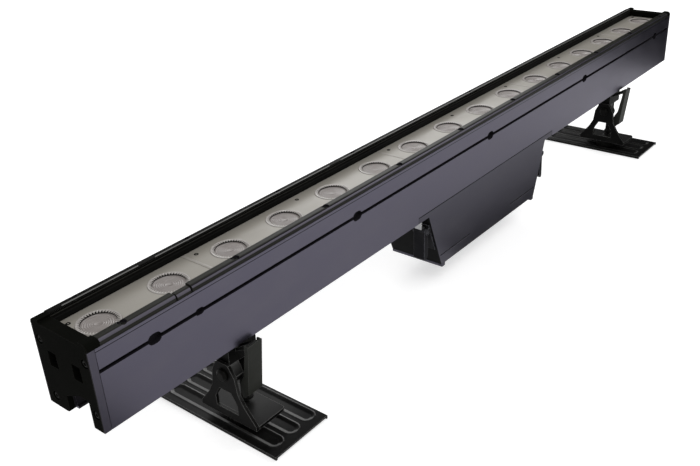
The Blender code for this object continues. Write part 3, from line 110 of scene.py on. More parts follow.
class Axis(Enum):
    """The direction that an outline is extruded in."""

    X = 0
    Y = 1

    def place(self, u: float, v: float, along: float) -> Vector:
        """Turn outline coordinates and a distance into a point."""
        return Vector((along, u, v)) if self is Axis.X else Vector((u, along, v))


def smooth(mesh: bpy.types.Mesh) -> None:
    """Shade a mesh smooth, apart from its sharp edges."""
    mesh.shade_smooth()
    mesh.set_sharp_from_angle(angle=SHARP_ANGLE)


def link(name: str, data: bpy.types.ID) -> Piece:
    """Make an object of some data, and add it to the scene."""
    item = bpy.data.objects.new(name, data)
    bpy.context.scene.collection.objects.link(item)
    return item


def new_material(name: str) -> tuple[bpy.types.Material, bpy.types.Node]:
    """Make a material, and return it with its Principled shader."""
    material = bpy.data.materials.new(name)
    material.use_nodes = True
    return material, material.node_tree.nodes["Principled BSDF"]


def new_group(name: str, amount: float, output: str) -> Tree:
    """Make an empty shader node group with an Amount input, its default, and one output."""
    tree = bpy.data.node_groups.new(name, "ShaderNodeTree")
    socket = tree.interface.new_socket("Amount", in_out="INPUT", socket_type="NodeSocketFloat")
    socket.default_value = amount
    tree.interface.new_socket(output, in_out="OUTPUT", socket_type="NodeSocketFloat")
    tree.nodes.new("NodeGroupInput").name = "in"
    tree.nodes.new("NodeGroupOutput").name = "out"
    return tree


def calculate(tree: Tree, operation: str, *values: object, clamp: bool = False) -> Socket:
    """Add a Math node."""
    node = tree.nodes.new("ShaderNodeMath")
    node.operation = operation
    node.use_clamp = clamp
    for socket, value in zip(node.inputs, values):
        if isinstance(value, Socket):
            tree.links.new(value, socket)
        else:
            socket.default_value = value
    return node.outputs[0]


def give_out(tree: Tree, output: str, value: Socket, clamp: bool = False) -> Tree:
    """Scale a value by a group's Amount, and make it the group's output."""
    scaled = calculate(tree, "MULTIPLY", value, tree.nodes["in"].outputs["Amount"], clamp=clamp)
    tree.links.new(scaled, tree.nodes["out"].inputs[output])
    return tree


def noise(tree: Tree, vector: Socket, scale: float, detail: float) -> Socket:
    """Add a noise texture."""
    node = tree.nodes.new("ShaderNodeTexNoise")
    node.inputs["Scale"].default_value = scale
    node.inputs["Detail"].default_value = detail
    tree.links.new(vector, node.inputs["Vector"])
    return node.outputs["Fac"]


def place_coordinates(tree: Tree, stretch: Triple) -> Socket:
    """Add object coordinates that are stretched along each axis."""
    coordinates = tree.nodes.new("ShaderNodeTexCoord")
    mapping = tree.nodes.new("ShaderNodeMapping")
    mapping.inputs["Scale"].default_value = stretch
    tree.links.new(coordinates.outputs["Object"], mapping.inputs["Vector"])
    return mapping.outputs["Vector"]


class Effects:
    """The shader node groups that the finishes share, each built once."""

    def __init__(self) -> None:
        """Build the groups."""
        self.wear = self._edge_wear()
        self.drawn = self._drawn_grain()
        self.speckle = self._powder_speckle()
        self.dust = self._settled_dust()

    def _edge_wear(self) -> Tree:
        """Build the mask of rubbed edges, which the finishes with a high amount also use as painted edge
        highlights.

        Returns:
            The group, whose Mask is 1 where an edge has been rubbed or gets a painted highlight.
        """
        tree = new_group("rubbed_edges", 0.5, "Mask")
        geometry = tree.nodes.new("ShaderNodeNewGeometry")
        bevel = tree.nodes.new("ShaderNodeBevel")
        bevel.samples = 4
        bevel.inputs["Radius"].default_value = 0.0005
        dot = tree.nodes.new("ShaderNodeVectorMath")
        dot.operation = "DOT_PRODUCT"
        tree.links.new(bevel.outputs["Normal"], dot.inputs[0])
        tree.links.new(geometry.outputs["True Normal"], dot.inputs[1])
        turned = calculate(tree, "SUBTRACT", 1.0, dot.outputs["Value"])
        patches = noise(tree, place_coordinates(tree, (1, 1, 1)), 160, 3)
        rough = calculate(tree, "MULTIPLY", turned, calculate(tree, "MULTIPLY", patches, 9.0))
        return give_out(tree, "Mask", rough, clamp=True)

    def _drawn_grain(self) -> Tree:
        """Build the fine lines that extrusion leaves along the bar."""
        tree = new_group("drawn_grain", 1.0, "Height")
        fine = noise(tree, place_coordinates(tree, (4, 1400, 1400)), 1.0, 3)
        broad = noise(tree, place_coordinates(tree, (2, 180, 180)), 1.0, 2)
        fine_share = calculate(tree, "MULTIPLY", fine, 0.6)
        height = calculate(tree, "ADD", fine_share, calculate(tree, "MULTIPLY", broad, 0.4))
        return give_out(tree, "Height", height)

    def _powder_speckle(self) -> Tree:
        """Build the small bumps of powder coat and moulded texture."""
        tree = new_group("powder_speckle", 1.0, "Height")
        bumps = noise(tree, place_coordinates(tree, (1, 1, 1)), 2600, 2)
        return give_out(tree, "Height", bumps)

    def _settled_dust(self) -> Tree:
        """Build the faint cloudy marks of handling and dust."""
        tree = new_group("settled_dust", 0.2, "Mask")
        cloud = noise(tree, place_coordinates(tree, (1, 2.2, 2.2)), 26, 5)
        sharp = calculate(tree, "SUBTRACT", cloud, 0.45)
        spread = calculate(tree, "MULTIPLY", sharp, 3.0, clamp=True)
        return give_out(tree, "Mask", spread, clamp=True)


class Texture(Enum):
    """The relief that a finish has at close range."""

    DRAWN = "drawn"
    SPECKLE = "speckle"
    SMOOTH = "smooth"


@dataclass(frozen=True)
class Finish:
    """One surface finish: its colour, gloss and relief."""

    name: str
    slot: str
    colour: Triple
    roughness: float
    relief: float = 0.00002
    worn_colour: Triple = (0.3, 0.3, 0.3)
    wear: float = 0.25
    dust: float = 0.2
    metallic: float = 0.0
    texture: Texture = Texture.SPECKLE
    dust_colour: Triple = (0.3, 0.29, 0.27)
    specular: float = 0.5
    coat: float = 0.0
    seams: tuple[float, ...] = ()

    def build(self, effects: Effects) -> bpy.types.Material:
        """Make the material.

        Args:
            effects: The shared node groups.

        Returns:
            The finished material.
        """
        material, shader = new_material(self.name)
        tree = material.node_tree
        shader.inputs["Metallic"].default_value = self.metallic
        shader.inputs["Specular IOR Level"].default_value = self.specular
        shader.inputs["Coat Weight"].default_value = self.coat
        wear = self._effect(tree, effects.wear, self.wear).outputs["Mask"]
        dust = self._effect(tree, effects.dust, self.dust).outputs["Mask"]
        dusty = self._mix(tree, self.colour, self.dust_colour, calculate(tree, "MULTIPLY", dust, DUST_SHARE))
        colour = self._mix(tree, dusty, self.worn_colour, wear)
        height = self._relief(tree, effects)
        if self.seams:
            lines = self._seam_lines(tree)
            colour = self._mix(tree, colour, tuple(c * SEAM_SHADE for c in self.colour), lines)
        tree.links.new(colour, shader.inputs["Base Color"])
        rough = calculate(tree, "ADD", self.roughness, calculate(tree, "MULTIPLY", dust, DUST_SHARE))
        rubbed = calculate(tree, "MULTIPLY", wear, WEAR_GLOSS)
        softened = calculate(tree, "SUBTRACT", rough, rubbed, clamp=True)
        tree.links.new(softened, shader.inputs["Roughness"])
        bump = tree.nodes.new("ShaderNodeBump")
        bump.inputs["Distance"].default_value = self.relief
        bump.inputs["Strength"].default_value = 1.0
        tree.links.new(height, bump.inputs["Height"])
        tree.links.new(bump.outputs["Normal"], shader.inputs["Normal"])
        return material

    def _effect(self, tree: Tree, group: Tree, amount: float) -> bpy.types.Node:
        """Place a shared group."""
        node = tree.nodes.new("ShaderNodeGroup")
        node.node_tree = group
        node.inputs["Amount"].default_value = amount
        return node

    def _relief(self, tree: Tree, effects: Effects) -> Socket:
        """Choose the height that feeds the bump."""
        if self.texture is Texture.DRAWN:
            return self._effect(tree, effects.drawn, 1.0).outputs["Height"]
        amount = 1.0 if self.texture is Texture.SPECKLE else 0.15
        return self._effect(tree, effects.speckle, amount).outputs["Height"]

    def _seam_lines(self, tree: Tree) -> Socket:
        """Mark the hairline seams that run along the bar's sides."""
        coordinates = tree.nodes.new("ShaderNodeTexCoord")
        split = tree.nodes.new("ShaderNodeSeparateXYZ")
        tree.links.new(coordinates.outputs["Object"], split.inputs[0])
        found = None
        for height in self.seams:
            away = calculate(tree, "ABSOLUTE", calculate(tree, "SUBTRACT", split.outputs["Z"], height))
            line = calculate(tree, "LESS_THAN", away, SEAM_HALF_WIDTH)
            found = line if found is None else calculate(tree, "MAXIMUM", found, line)
        return found

    @staticmethod
    def _mix(tree: Tree, first: object, second: object, factor: Socket) -> Socket:
        """Mix two colours."""
        node = tree.nodes.new("ShaderNodeMix")
        node.data_type = "RGBA"
        tree.links.new(factor, node.inputs["Factor"])
        for key, value in (("A", first), ("B", second)):
            socket = [item for item in node.inputs if item.name == key and item.type == "RGBA"][0]
            if isinstance(value, Socket):
                tree.links.new(value, socket)
            else:
                socket.default_value = (*value, 1)
        return [item for item in node.outputs if item.type == "RGBA"][0]


@dataclass(frozen=True)
class Palette:
    """Every finish on the bar."""

    anodised: Finish = Finish("grey_anodising", "anodised", (0.11, 0.104, 0.138), 0.34, 1.2e-5,
        (0.2, 0.19, 0.23), 0.12, 0.15, metallic=1.0, texture=Texture.DRAWN, seams=(0.15015,))
    # Painted shade: a near-black copy of the anodising for the channel, the grooves, the screw wells and the
    # end frames' inner faces.
    hollow: Finish = Finish("hollow_anodising", "anodised", (0.012, 0.011, 0.014), 0.55, 1e-5,
        (0.05, 0.05, 0.05), 0.1, 0.05, specular=0.05)
    trim: Finish = Finish("end_trim_anodising", "anodised", (0.088, 0.083, 0.108), 0.42, 8e-6,
        (0.2, 0.2, 0.23), 0.12, 0.1, metallic=1.0)
    pack_case: Finish = Finish("pack_anodising", "anodised", (0.082, 0.079, 0.1), 0.42, 1e-5,
        (0.16, 0.16, 0.18), 0.12, 0.15, metallic=1.0, seams=(0.0933,))
    pack_end: Finish = Finish("pack_end_paint", "anodised", (0.007, 0.007, 0.0075), 0.5, 1e-5,
        (0.12, 0.12, 0.13), 0.4, 0.04, specular=0.03)
    rail: Finish = Finish("rail_anodising", "black_metal", (0.016, 0.016, 0.0135), 0.3, 1e-5,
        (0.1, 0.1, 0.09), 0.25, 0.06, texture=Texture.DRAWN, specular=0.05)
    # Painted highlight: a lighter metallic copy of the rail finish for the middle of the front rail's rounded
    # edge.
    rail_sheen: Finish = Finish("rail_rounded_edge", "black_metal", (0.078, 0.073, 0.09), 0.36, 1e-5,
        (0.16, 0.155, 0.17), 0.2, 0.06, metallic=1.0, texture=Texture.DRAWN)
    # Painted shade: a darker, duller copy of the rail finish for the rear rail.
    rear_rail: Finish = Finish("rear_rail_anodising", "black_metal", (0.005, 0.005, 0.0045), 0.4, 1e-5,
        (0.03, 0.03, 0.028), 0.3, 0.04, texture=Texture.DRAWN, specular=0.018)
    # Painted highlight: a light grey for the lips along the rear rail's inner top edge.
    rail_edge: Finish = Finish("rail_bright_edge", "black_metal", (0.13, 0.13, 0.125), 0.4, 1e-5,
        (0.2, 0.2, 0.2), 0.1, 0.1, texture=Texture.SMOOTH, specular=0.2)
    cap: Finish = Finish("cap_paint", "black_metal", (0.0032, 0.0034, 0.0027), 0.55, 2e-5,
        (0.03, 0.03, 0.027), 0.3, 0.01, specular=0.004)
    # The powder, plate and yoke finishes turn the edge wear high, partly as real wear and partly as painted
    # edge highlights.
    powder: Finish = Finish("black_powder_coat", "black_metal", (0.0042, 0.0042, 0.004), 0.36, 3e-5,
        (0.19, 0.19, 0.185), 1.6, 0.04, specular=0.03)
    # Painted light: a lighter, glossier copy of the powder coat for the yoke's upward faces.
    yoke_base: Finish = Finish("worn_yoke_base", "black_metal", (0.012, 0.012, 0.0117), 0.36, 3e-5,
        (0.19, 0.19, 0.185), 1.6, 0.06, specular=0.12)
    plate: Finish = Finish("plate_powder_coat", "black_metal", (0.0046, 0.0046, 0.0044), 0.32, 2e-5,
        (0.2, 0.2, 0.195), 1.2, 0.03, specular=0.09)
    # Painted highlight: a lighter, glossier copy of the plate coat for the trough slopes that face the lamps.
    plate_slope: Finish = Finish("rubbed_plate_slope", "black_metal", (0.08, 0.08, 0.078), 0.3, 2e-5,
        (0.2, 0.2, 0.195), 1.2, 0.03, specular=0.3)
    lever: Finish = Finish("lever_coat", "black_metal", (0.021, 0.022, 0.019), 0.42, 3e-5,
        (0.14, 0.14, 0.135), 0.6, 0.1, specular=0.06)
    clasp: Finish = Finish("clasp_plate", "black_metal", (0.009, 0.009, 0.011), 0.4, 2e-5,
        (0.22, 0.22, 0.25), 1.2, 0.1, specular=0.06)
    socket_shell: Finish = Finish("socket_shell", "black_metal", (0.012, 0.012, 0.013), 0.35, specular=0.15)
    moulding: Finish = Finish("black_moulding", "black_plastic", (0.007, 0.007, 0.008), 0.55, specular=0.06)
    zinc: Finish = Finish("zinc_plate", "steel", (0.42, 0.42, 0.43), 0.3, 1e-5, (0.6, 0.6, 0.6), 0.2,
        metallic=1.0, texture=Texture.SMOOTH)
    dark_screw: Finish = Finish("blackened_screw", "steel", (0.004, 0.004, 0.0036), 0.35, 1e-5,
        (0.06, 0.06, 0.055), 0.4, 0.06, texture=Texture.SMOOTH, specular=0.04)
    window: Finish = Finish("window_diffuser", "frosted_lens", (0.285, 0.268, 0.236), 0.28, 1e-5,
        (0.3, 0.29, 0.26), 0.1, 0.3, texture=Texture.SMOOTH, dust_colour=(0.29, 0.27, 0.245), specular=0.22)
    window_edge: Finish = Finish("window_seam", "frosted_lens", (0.32, 0.3, 0.275), 0.3, 1e-5,
        (0.3, 0.28, 0.26), 0.1, texture=Texture.SMOOTH, dust_colour=(0.22, 0.2, 0.175), specular=0.3)
    lens: Finish = Finish("lens_moulding", "frosted_lens", (0.225, 0.203, 0.192), 0.24, 2e-5,
        (0.3, 0.27, 0.26), 0.9, 0.5, dust_colour=(0.34, 0.32, 0.3), specular=0.34)
    lens_rim: Finish = Finish("lens_rim", "frosted_lens", (0.36, 0.338, 0.318), 0.25, 1e-5,
        (0.5, 0.47, 0.45), 0.2, 0.1, texture=Texture.SMOOTH, specular=0.3, coat=0.2)
    # Painted shade for the gap under each lens's teeth and the face's outer channel.
    lens_gap: Finish = Finish("lens_gap_shade", "frosted_lens", (0.085, 0.078, 0.073), 0.5, 1e-5,
        (0.05, 0.05, 0.05), 0.1, 0.04, texture=Texture.SMOOTH, specular=0.05)
    board: Finish = Finish("solder_mask", "circuit_board", (0.02, 0.09, 0.05), 0.4)
    cells: Finish = Finish("cell_wrap", "cell_wrap", (0.05, 0.12, 0.25), 0.35, texture=Texture.SMOOTH)


class Workshop:
    """Builds meshes in the bar's own frame and hands each to its body and finish."""

    def __init__(self, palette: Palette) -> None:
        """Build the materials once."""
        effects = Effects()
        self.palette = palette
        self.materials: dict[str, bpy.types.Material] = {}
        for name in palette.__dataclass_fields__:
            finish = getattr(palette, name)
            self.materials[finish.name] = finish.build(effects)

    def raw(self, name: str, body: bmesh.types.BMesh) -> Piece:
        """Turn a mesh into an object of the scene."""
        bmesh.ops.recalc_face_normals(body, faces=body.faces)
        mesh = bpy.data.meshes.new(name)
        body.to_mesh(mesh)
        body.free()
        smooth(mesh)
        return link(name, mesh)

    def finish(self, item: Piece, finish: Finish, body: str, edge: float = 0.0,
               stands_for: tuple[str, ...] = ()) -> Piece:
        """Give a piece its rounded edges, material and body.

        Args:
            item: The piece.
            finish: Its finish.
            body: CAD body that carries it.
            edge: Width of its rounded edges, in metres, or 0 for sharp ones.
            stands_for: CAD nodes that it replaces.

        Returns:
            The same piece.
        """
        item.data.materials.clear()
        item.data.materials.append(self.materials[finish.name])
        if edge:
            bevel = item.modifiers.new("rounded_edges", "BEVEL")
            bevel.width = edge
            bevel.segments = 2
            bevel.limit_method = "ANGLE"
            bevel.angle_limit = ROUNDED_ANGLE
            weighted = item.modifiers.new("even_shading", "WEIGHTED_NORMAL")
            weighted.keep_sharp = True
        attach(item, body)
        if stands_for:
            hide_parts(*stands_for)
        LOG.info("%s rides on %s in %s", item.name, body, finish.name)
        return item

    def coat(self, node: str, finish: Finish) -> None:
        """Give a CAD node a finish as it is."""
        item = frame["nodes"][node]
        item.data.materials.clear()
        item.data.materials.append(self.materials[finish.name])
        LOG.info("%s keeps its solid in %s", node, finish.name)

    def rounded(self, node: str, finish: Finish, edge: float) -> Piece:
        """Rebuild a CAD node with rounded edges."""
        source = frame["nodes"][node]
        body = bmesh.new()
        body.from_mesh(source.data)
        bmesh.ops.remove_doubles(body, verts=body.verts, dist=MERGE_DISTANCE)
        bmesh.ops.dissolve_limit(body, angle_limit=FLAT_ANGLE, verts=body.verts, edges=body.edges)
        item = self.raw(node + "_shown", body)
        return self.finish(item, finish, source["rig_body"], edge, (node,))

    def accent(self, item: Piece, finish: Finish, chosen: Callable[[Vector, Vector], bool]) -> None:
        """Give some faces of a piece a second finish."""
        item.data.materials.append(self.materials[finish.name])
        place = len(item.data.materials) - 1
        for polygon in item.data.polygons:
            if chosen(polygon.center - LIFT, polygon.normal):
                polygon.material_index = place

    def prism(self, name: str, axis: Axis, outline: Outline, start: float, end: float) -> Piece:
        """Extrude an outline between two distances along an axis."""
        body = bmesh.new()
        points = [axis.place(u, v, start) for u, v in outline]
        foot = body.faces.new([body.verts.new(point) for point in points])
        risen = bmesh.ops.extrude_face_region(body, geom=[foot])["geom"]
        lifted = [item for item in risen if isinstance(item, bmesh.types.BMVert)]
        shift = axis.place(0, 0, end - start)
        bmesh.ops.translate(body, vec=shift, verts=lifted)
        bmesh.ops.translate(body, vec=LIFT, verts=body.verts)
        return self.raw(name, body)

    def turned(self, name: str, profile: Outline, centre: Vector, turn: Euler, steps: int = 32) -> Piece:
        """Turn a profile about an axis.

        Args:
            name: The piece's name.
            profile: Pairs of radius and distance along the axis.
            centre: The axis's origin, in the bar's own frame.
            turn: How the axis is turned from +Z.
            steps: Number of steps round it.

        Returns:
            The object.
        """
        body = bmesh.new()
        rings = []
        for radius, along in profile:
            if radius < SAME_POINT:
                rings.append([body.verts.new((0, 0, along))])
                continue
            ring = []
            for i in range(steps):
                angle = 2 * math.pi * i / steps
                ring.append(body.verts.new((radius * math.cos(angle), radius * math.sin(angle), along)))
            rings.append(ring)
        for low, high in zip(rings, rings[1:]):
            for i in range(steps):
                j = (i + 1) % steps
                corners = [low[i % len(low)], low[j % len(low)], high[j % len(high)], high[i % len(high)]]
                unique = list(dict.fromkeys(corners))
                if len(unique) > 2:
                    body.faces.new(unique)
        bmesh.ops.remove_doubles(body, verts=body.verts, dist=SAME_POINT)
        matrix = Matrix.Translation(centre + LIFT) @ turn.to_matrix().to_4x4()
        bmesh.ops.transform(body, matrix=matrix, verts=body.verts)
        return self.raw(name, body)

    def cut(self, item: Piece, cutters: list[Piece]) -> None:
        """Cut shapes out of a piece for good, and delete them.

        Args:
            item: The piece.
            cutters: Shapes that don't touch each other.
        """
        for cutter in cutters:
            modifier = item.modifiers.new("cut", "BOOLEAN")
            modifier.operation = "DIFFERENCE"
            modifier.object = cutter
        graph = bpy.context.evaluated_depsgraph_get()
        mesh = bpy.data.meshes.new_from_object(item.evaluated_get(graph))
        item.modifiers.clear()
        item.data = mesh
        smooth(mesh)
        for cutter in cutters:
            bpy.data.objects.remove(cutter)


def arc(centre: Pair, radius: float, start: float, end: float, steps: int) -> Outline:
    """List points along an arc."""
    points = []
    for i in range(steps + 1):
        angle = math.radians(start + (end - start) * i / steps)
        points.append((centre[0] + radius * math.cos(angle), centre[1] + radius * math.sin(angle)))
    return points


@dataclass
class Housing:
    """The extruded body of the bar with its end frames."""

    shop: Workshop
    edge: float = 0.0003
    skin: float = 0.0004
    channel_heights: Pair = (0.0002, 0.0225)
    channel_depths: Pair = (-0.0205, 0.008)
    groove_heights: Pair = (0.04, 0.056)
    end_margin: float = 0.008

    def build(self) -> None:
        """Dress the extrusion and the frames at its ends, with painted shade inside the channel, the grooves
        and the frames.
        """
        palette = self.shop.palette
        housing = self.shop.rounded("housing", palette.anodised, self.edge)
        # Painted shade inside the foot channel and the side grooves.
        self.shop.accent(housing, palette.hollow, self._in_channel)
        for side in Side:
            trim = self.shop.rounded(f"end_frame_{side.tag}", palette.trim, self.edge)
            # Painted shade on the end frames' faces that lie inward of the sides.
            self.shop.accent(trim, palette.hollow,
                             lambda centre, normal: abs(centre.y) < HALF_WIDTH - self.skin)

    def _in_channel(self, centre: Vector, normal: Vector) -> bool:
        """Whether a face lies inside the foot channel or the side grooves, which get painted shade."""
        low, high = self.channel_heights
        front, rear = self.channel_depths
        sill, lintel = self.groove_heights
        inside = low < centre.z < high and front < centre.y < rear
        groove = sill < centre.z < lintel and abs(centre.y) < HALF_WIDTH - 2 * self.skin
        return (inside or groove) and abs(centre.x) < HALF_LENGTH - self.end_margin


@dataclass
class Rails:
    """The two clamping rails along the lens windows, with their screws."""

    shop: Workshop
    inner: float = 0.0226
    fillet: float = 0.003
    inner_fillet: float = 0.001
    trough: float = 0.02865
    end: float = 0.4893
    screw_pitch: float = 0.104
    screw_count: int = 10
    screw_y: float = 0.0268
    screw_width: float = 0.0063
    well_depth: float = 0.0022
    ledge: float = 0.0009
    ledge_height: float = 0.065
    gap: float = 0.0007
    key_inset: float = 0.0013
    key_drop: float = 0.0007
    key_start: float = -0.4245
    key_end: float = -0.4107
    lip_spans: tuple[Pair, ...] = ((-0.479, -0.413), (-0.397, -0.193), (-0.177, 0.488))

    def build(self) -> None:
        """Build the front rail in its segments, the rear rail, and their screws."""
        spans = ((-self.end, self.key_start - self.gap), (self.key_start + self.gap, self.key_end - self.gap),
                 (self.key_end + self.gap, self.end))
        front = self.shop.palette.rail
        for number, (start, end) in enumerate(spans, 1):
            key = number == 2
            self._rail(f"front_rail_segment_{number}", -1, start, end, ("front_rail",), front,
                       self.key_inset if key else 0.0, self.key_drop if key else 0.0)
        self._rail("rear_rail_shown", 1, -self.end, self.end, ("rear_rail",), self.shop.palette.rear_rail)
        for number, (start, end) in enumerate(self.lip_spans, 1):
            self._lip(number, start, end)
        # The ridge takes the lighter front-rail finish, a painted light streak halfway down the rear rail's
        # dark inner wall.
        wall = self.inner + self.ledge
        ridge = [(wall - 0.0003, 0.0674), (wall + 0.0002, 0.0673),
                 (wall + 0.0002, 0.0679), (wall - 0.0003, 0.0678)]
        strip = self.shop.prism("rear_rail_ridge", Axis.X, ridge, -self.end, self.end)
        self.shop.finish(strip, front, "bar")
        for tag, side in (("front", -1), ("rear", 1)):
            for i in range(self.screw_count):
                self._screw(f"{tag}_rail_screw_{i + 1}", self._screw_x(i), side * self.screw_y)

    def _screw_x(self, index: int) -> float:
        """Where a rail screw stands along the bar."""
        return (index - (self.screw_count - 1) / 2) * self.screw_pitch

    def _rail(self, name: str, side: int, start: float, end: float, nodes: tuple[str, ...], finish: Finish,
              inset: float = 0.0, drop: float = 0.0) -> None:
        """Build one length of rail.

        Args:
            name: The piece's name.
            side: -1 for the front rail and 1 for the rear one.
            start: Where it starts along the bar.
            end: Where it ends.
            nodes: CAD nodes that it stands for.
            finish: Its finish.
            inset: How far its inner edge stands back from the rest.
            drop: How far its top lies below the rest.
        """
        top = RAIL_TOP - drop
        low = ARRAY_TOP + 0.0003
        shelf = SIDE_HEIGHT + 0.0003
        r = self.fillet
        crown = self.inner_fillet
        outline = [(self.inner, low), (self.trough, low), (self.trough, shelf), (HALF_WIDTH, shelf)]
        outline += arc((HALF_WIDTH - r, top - r), r, 0, 90, 6)
        wall = self.inner + self.ledge + inset
        outline += arc((wall + crown, top - crown), crown, 90, 180, 3)
        outline += [(wall, self.ledge_height + 0.0002), (self.inner, self.ledge_height)]
        rail = self.shop.prism(name, Axis.X, [(side * y, z) for y, z in outline], start, end)
        wells = []
        for i in range(self.screw_count):
            x = self._screw_x(i)
            if start < x < end:
                radius, under, over = self.screw_width / 2, RAIL_TOP - self.well_depth, RAIL_TOP + CUT_PAST
                well = [(0, under), (radius, under), (radius + 0.0003, over), (0, over)]
                wells.append(self.shop.turned("well", well, Vector((x, side * self.screw_y, 0)), Euler(), 24))
        if wells:
            self.shop.cut(rail, wells)
        self.shop.finish(rail, finish, "bar", 0.0002, nodes)
        if side < 0:
            # Painted highlight along the middle of the front rail's rounded edge.
            self.shop.accent(rail, self.shop.palette.rail_sheen, self._on_rounded_edge)
        # Painted shade on the walls and floors of the screw wells.
        self.shop.accent(rail, self.shop.palette.hollow, self._in_well)

    def _on_rounded_edge(self, centre: Vector, normal: Vector) -> bool:
        """Whether a face lies on the middle of the front rail's rounded edge, which gets a painted highlight.
        """
        return 0.3 < normal.z < 0.87 and normal.y < -0.3 and centre.y < self.fillet - HALF_WIDTH

    def _in_well(self, centre: Vector, normal: Vector) -> bool:
        """Whether a face belongs to the wall or the floor of a screw's well, which gets painted shade."""
        reach = self.screw_width / 2 + 0.0004
        away = min(abs(centre.x - self._screw_x(i)) for i in range(self.screw_count))
        across = abs(abs(centre.y) - self.screw_y)
        return math.hypot(away, across) < reach and centre.z < RAIL_TOP - 0.0001

    def _lip(self, number: int, start: float, end: float) -> None:
        """Build a stretch of the raised lip on the rear rail's inner edge, whose light finish is a painted
        highlight.
        """
        y = self.inner + self.ledge + 0.0003
        outline = [(y, RAIL_TOP - 0.0002), (y + 0.0011, RAIL_TOP - 0.0002)]
        outline += [(y + 0.0009, RAIL_TOP + 0.0004), (y + 0.0002, RAIL_TOP + 0.0004)]
        lip = self.shop.prism(f"rear_rail_lip_{number}", Axis.X, outline, start, end)
        self.shop.finish(lip, self.shop.palette.rail_edge, "bar", 0.00015)

    def _screw(self, name: str, x: float, y: float) -> None:
        """Build a cap screw sunk in its well, with a round socket recess."""
        low = RAIL_TOP - 0.0021
        top = RAIL_TOP - 0.0014
        profile = [(0, low + 0.0002), (0.0013, low + 0.0002), (0.0013, top), (0.0022, top),
                   (0.0026, top - 0.0004), (0.0026, low), (0, low)]
        screw = self.shop.turned(name, profile, Vector((x, y, 0)), Euler(), 18)
        self.shop.finish(screw, self.shop.palette.dark_screw, "bar")


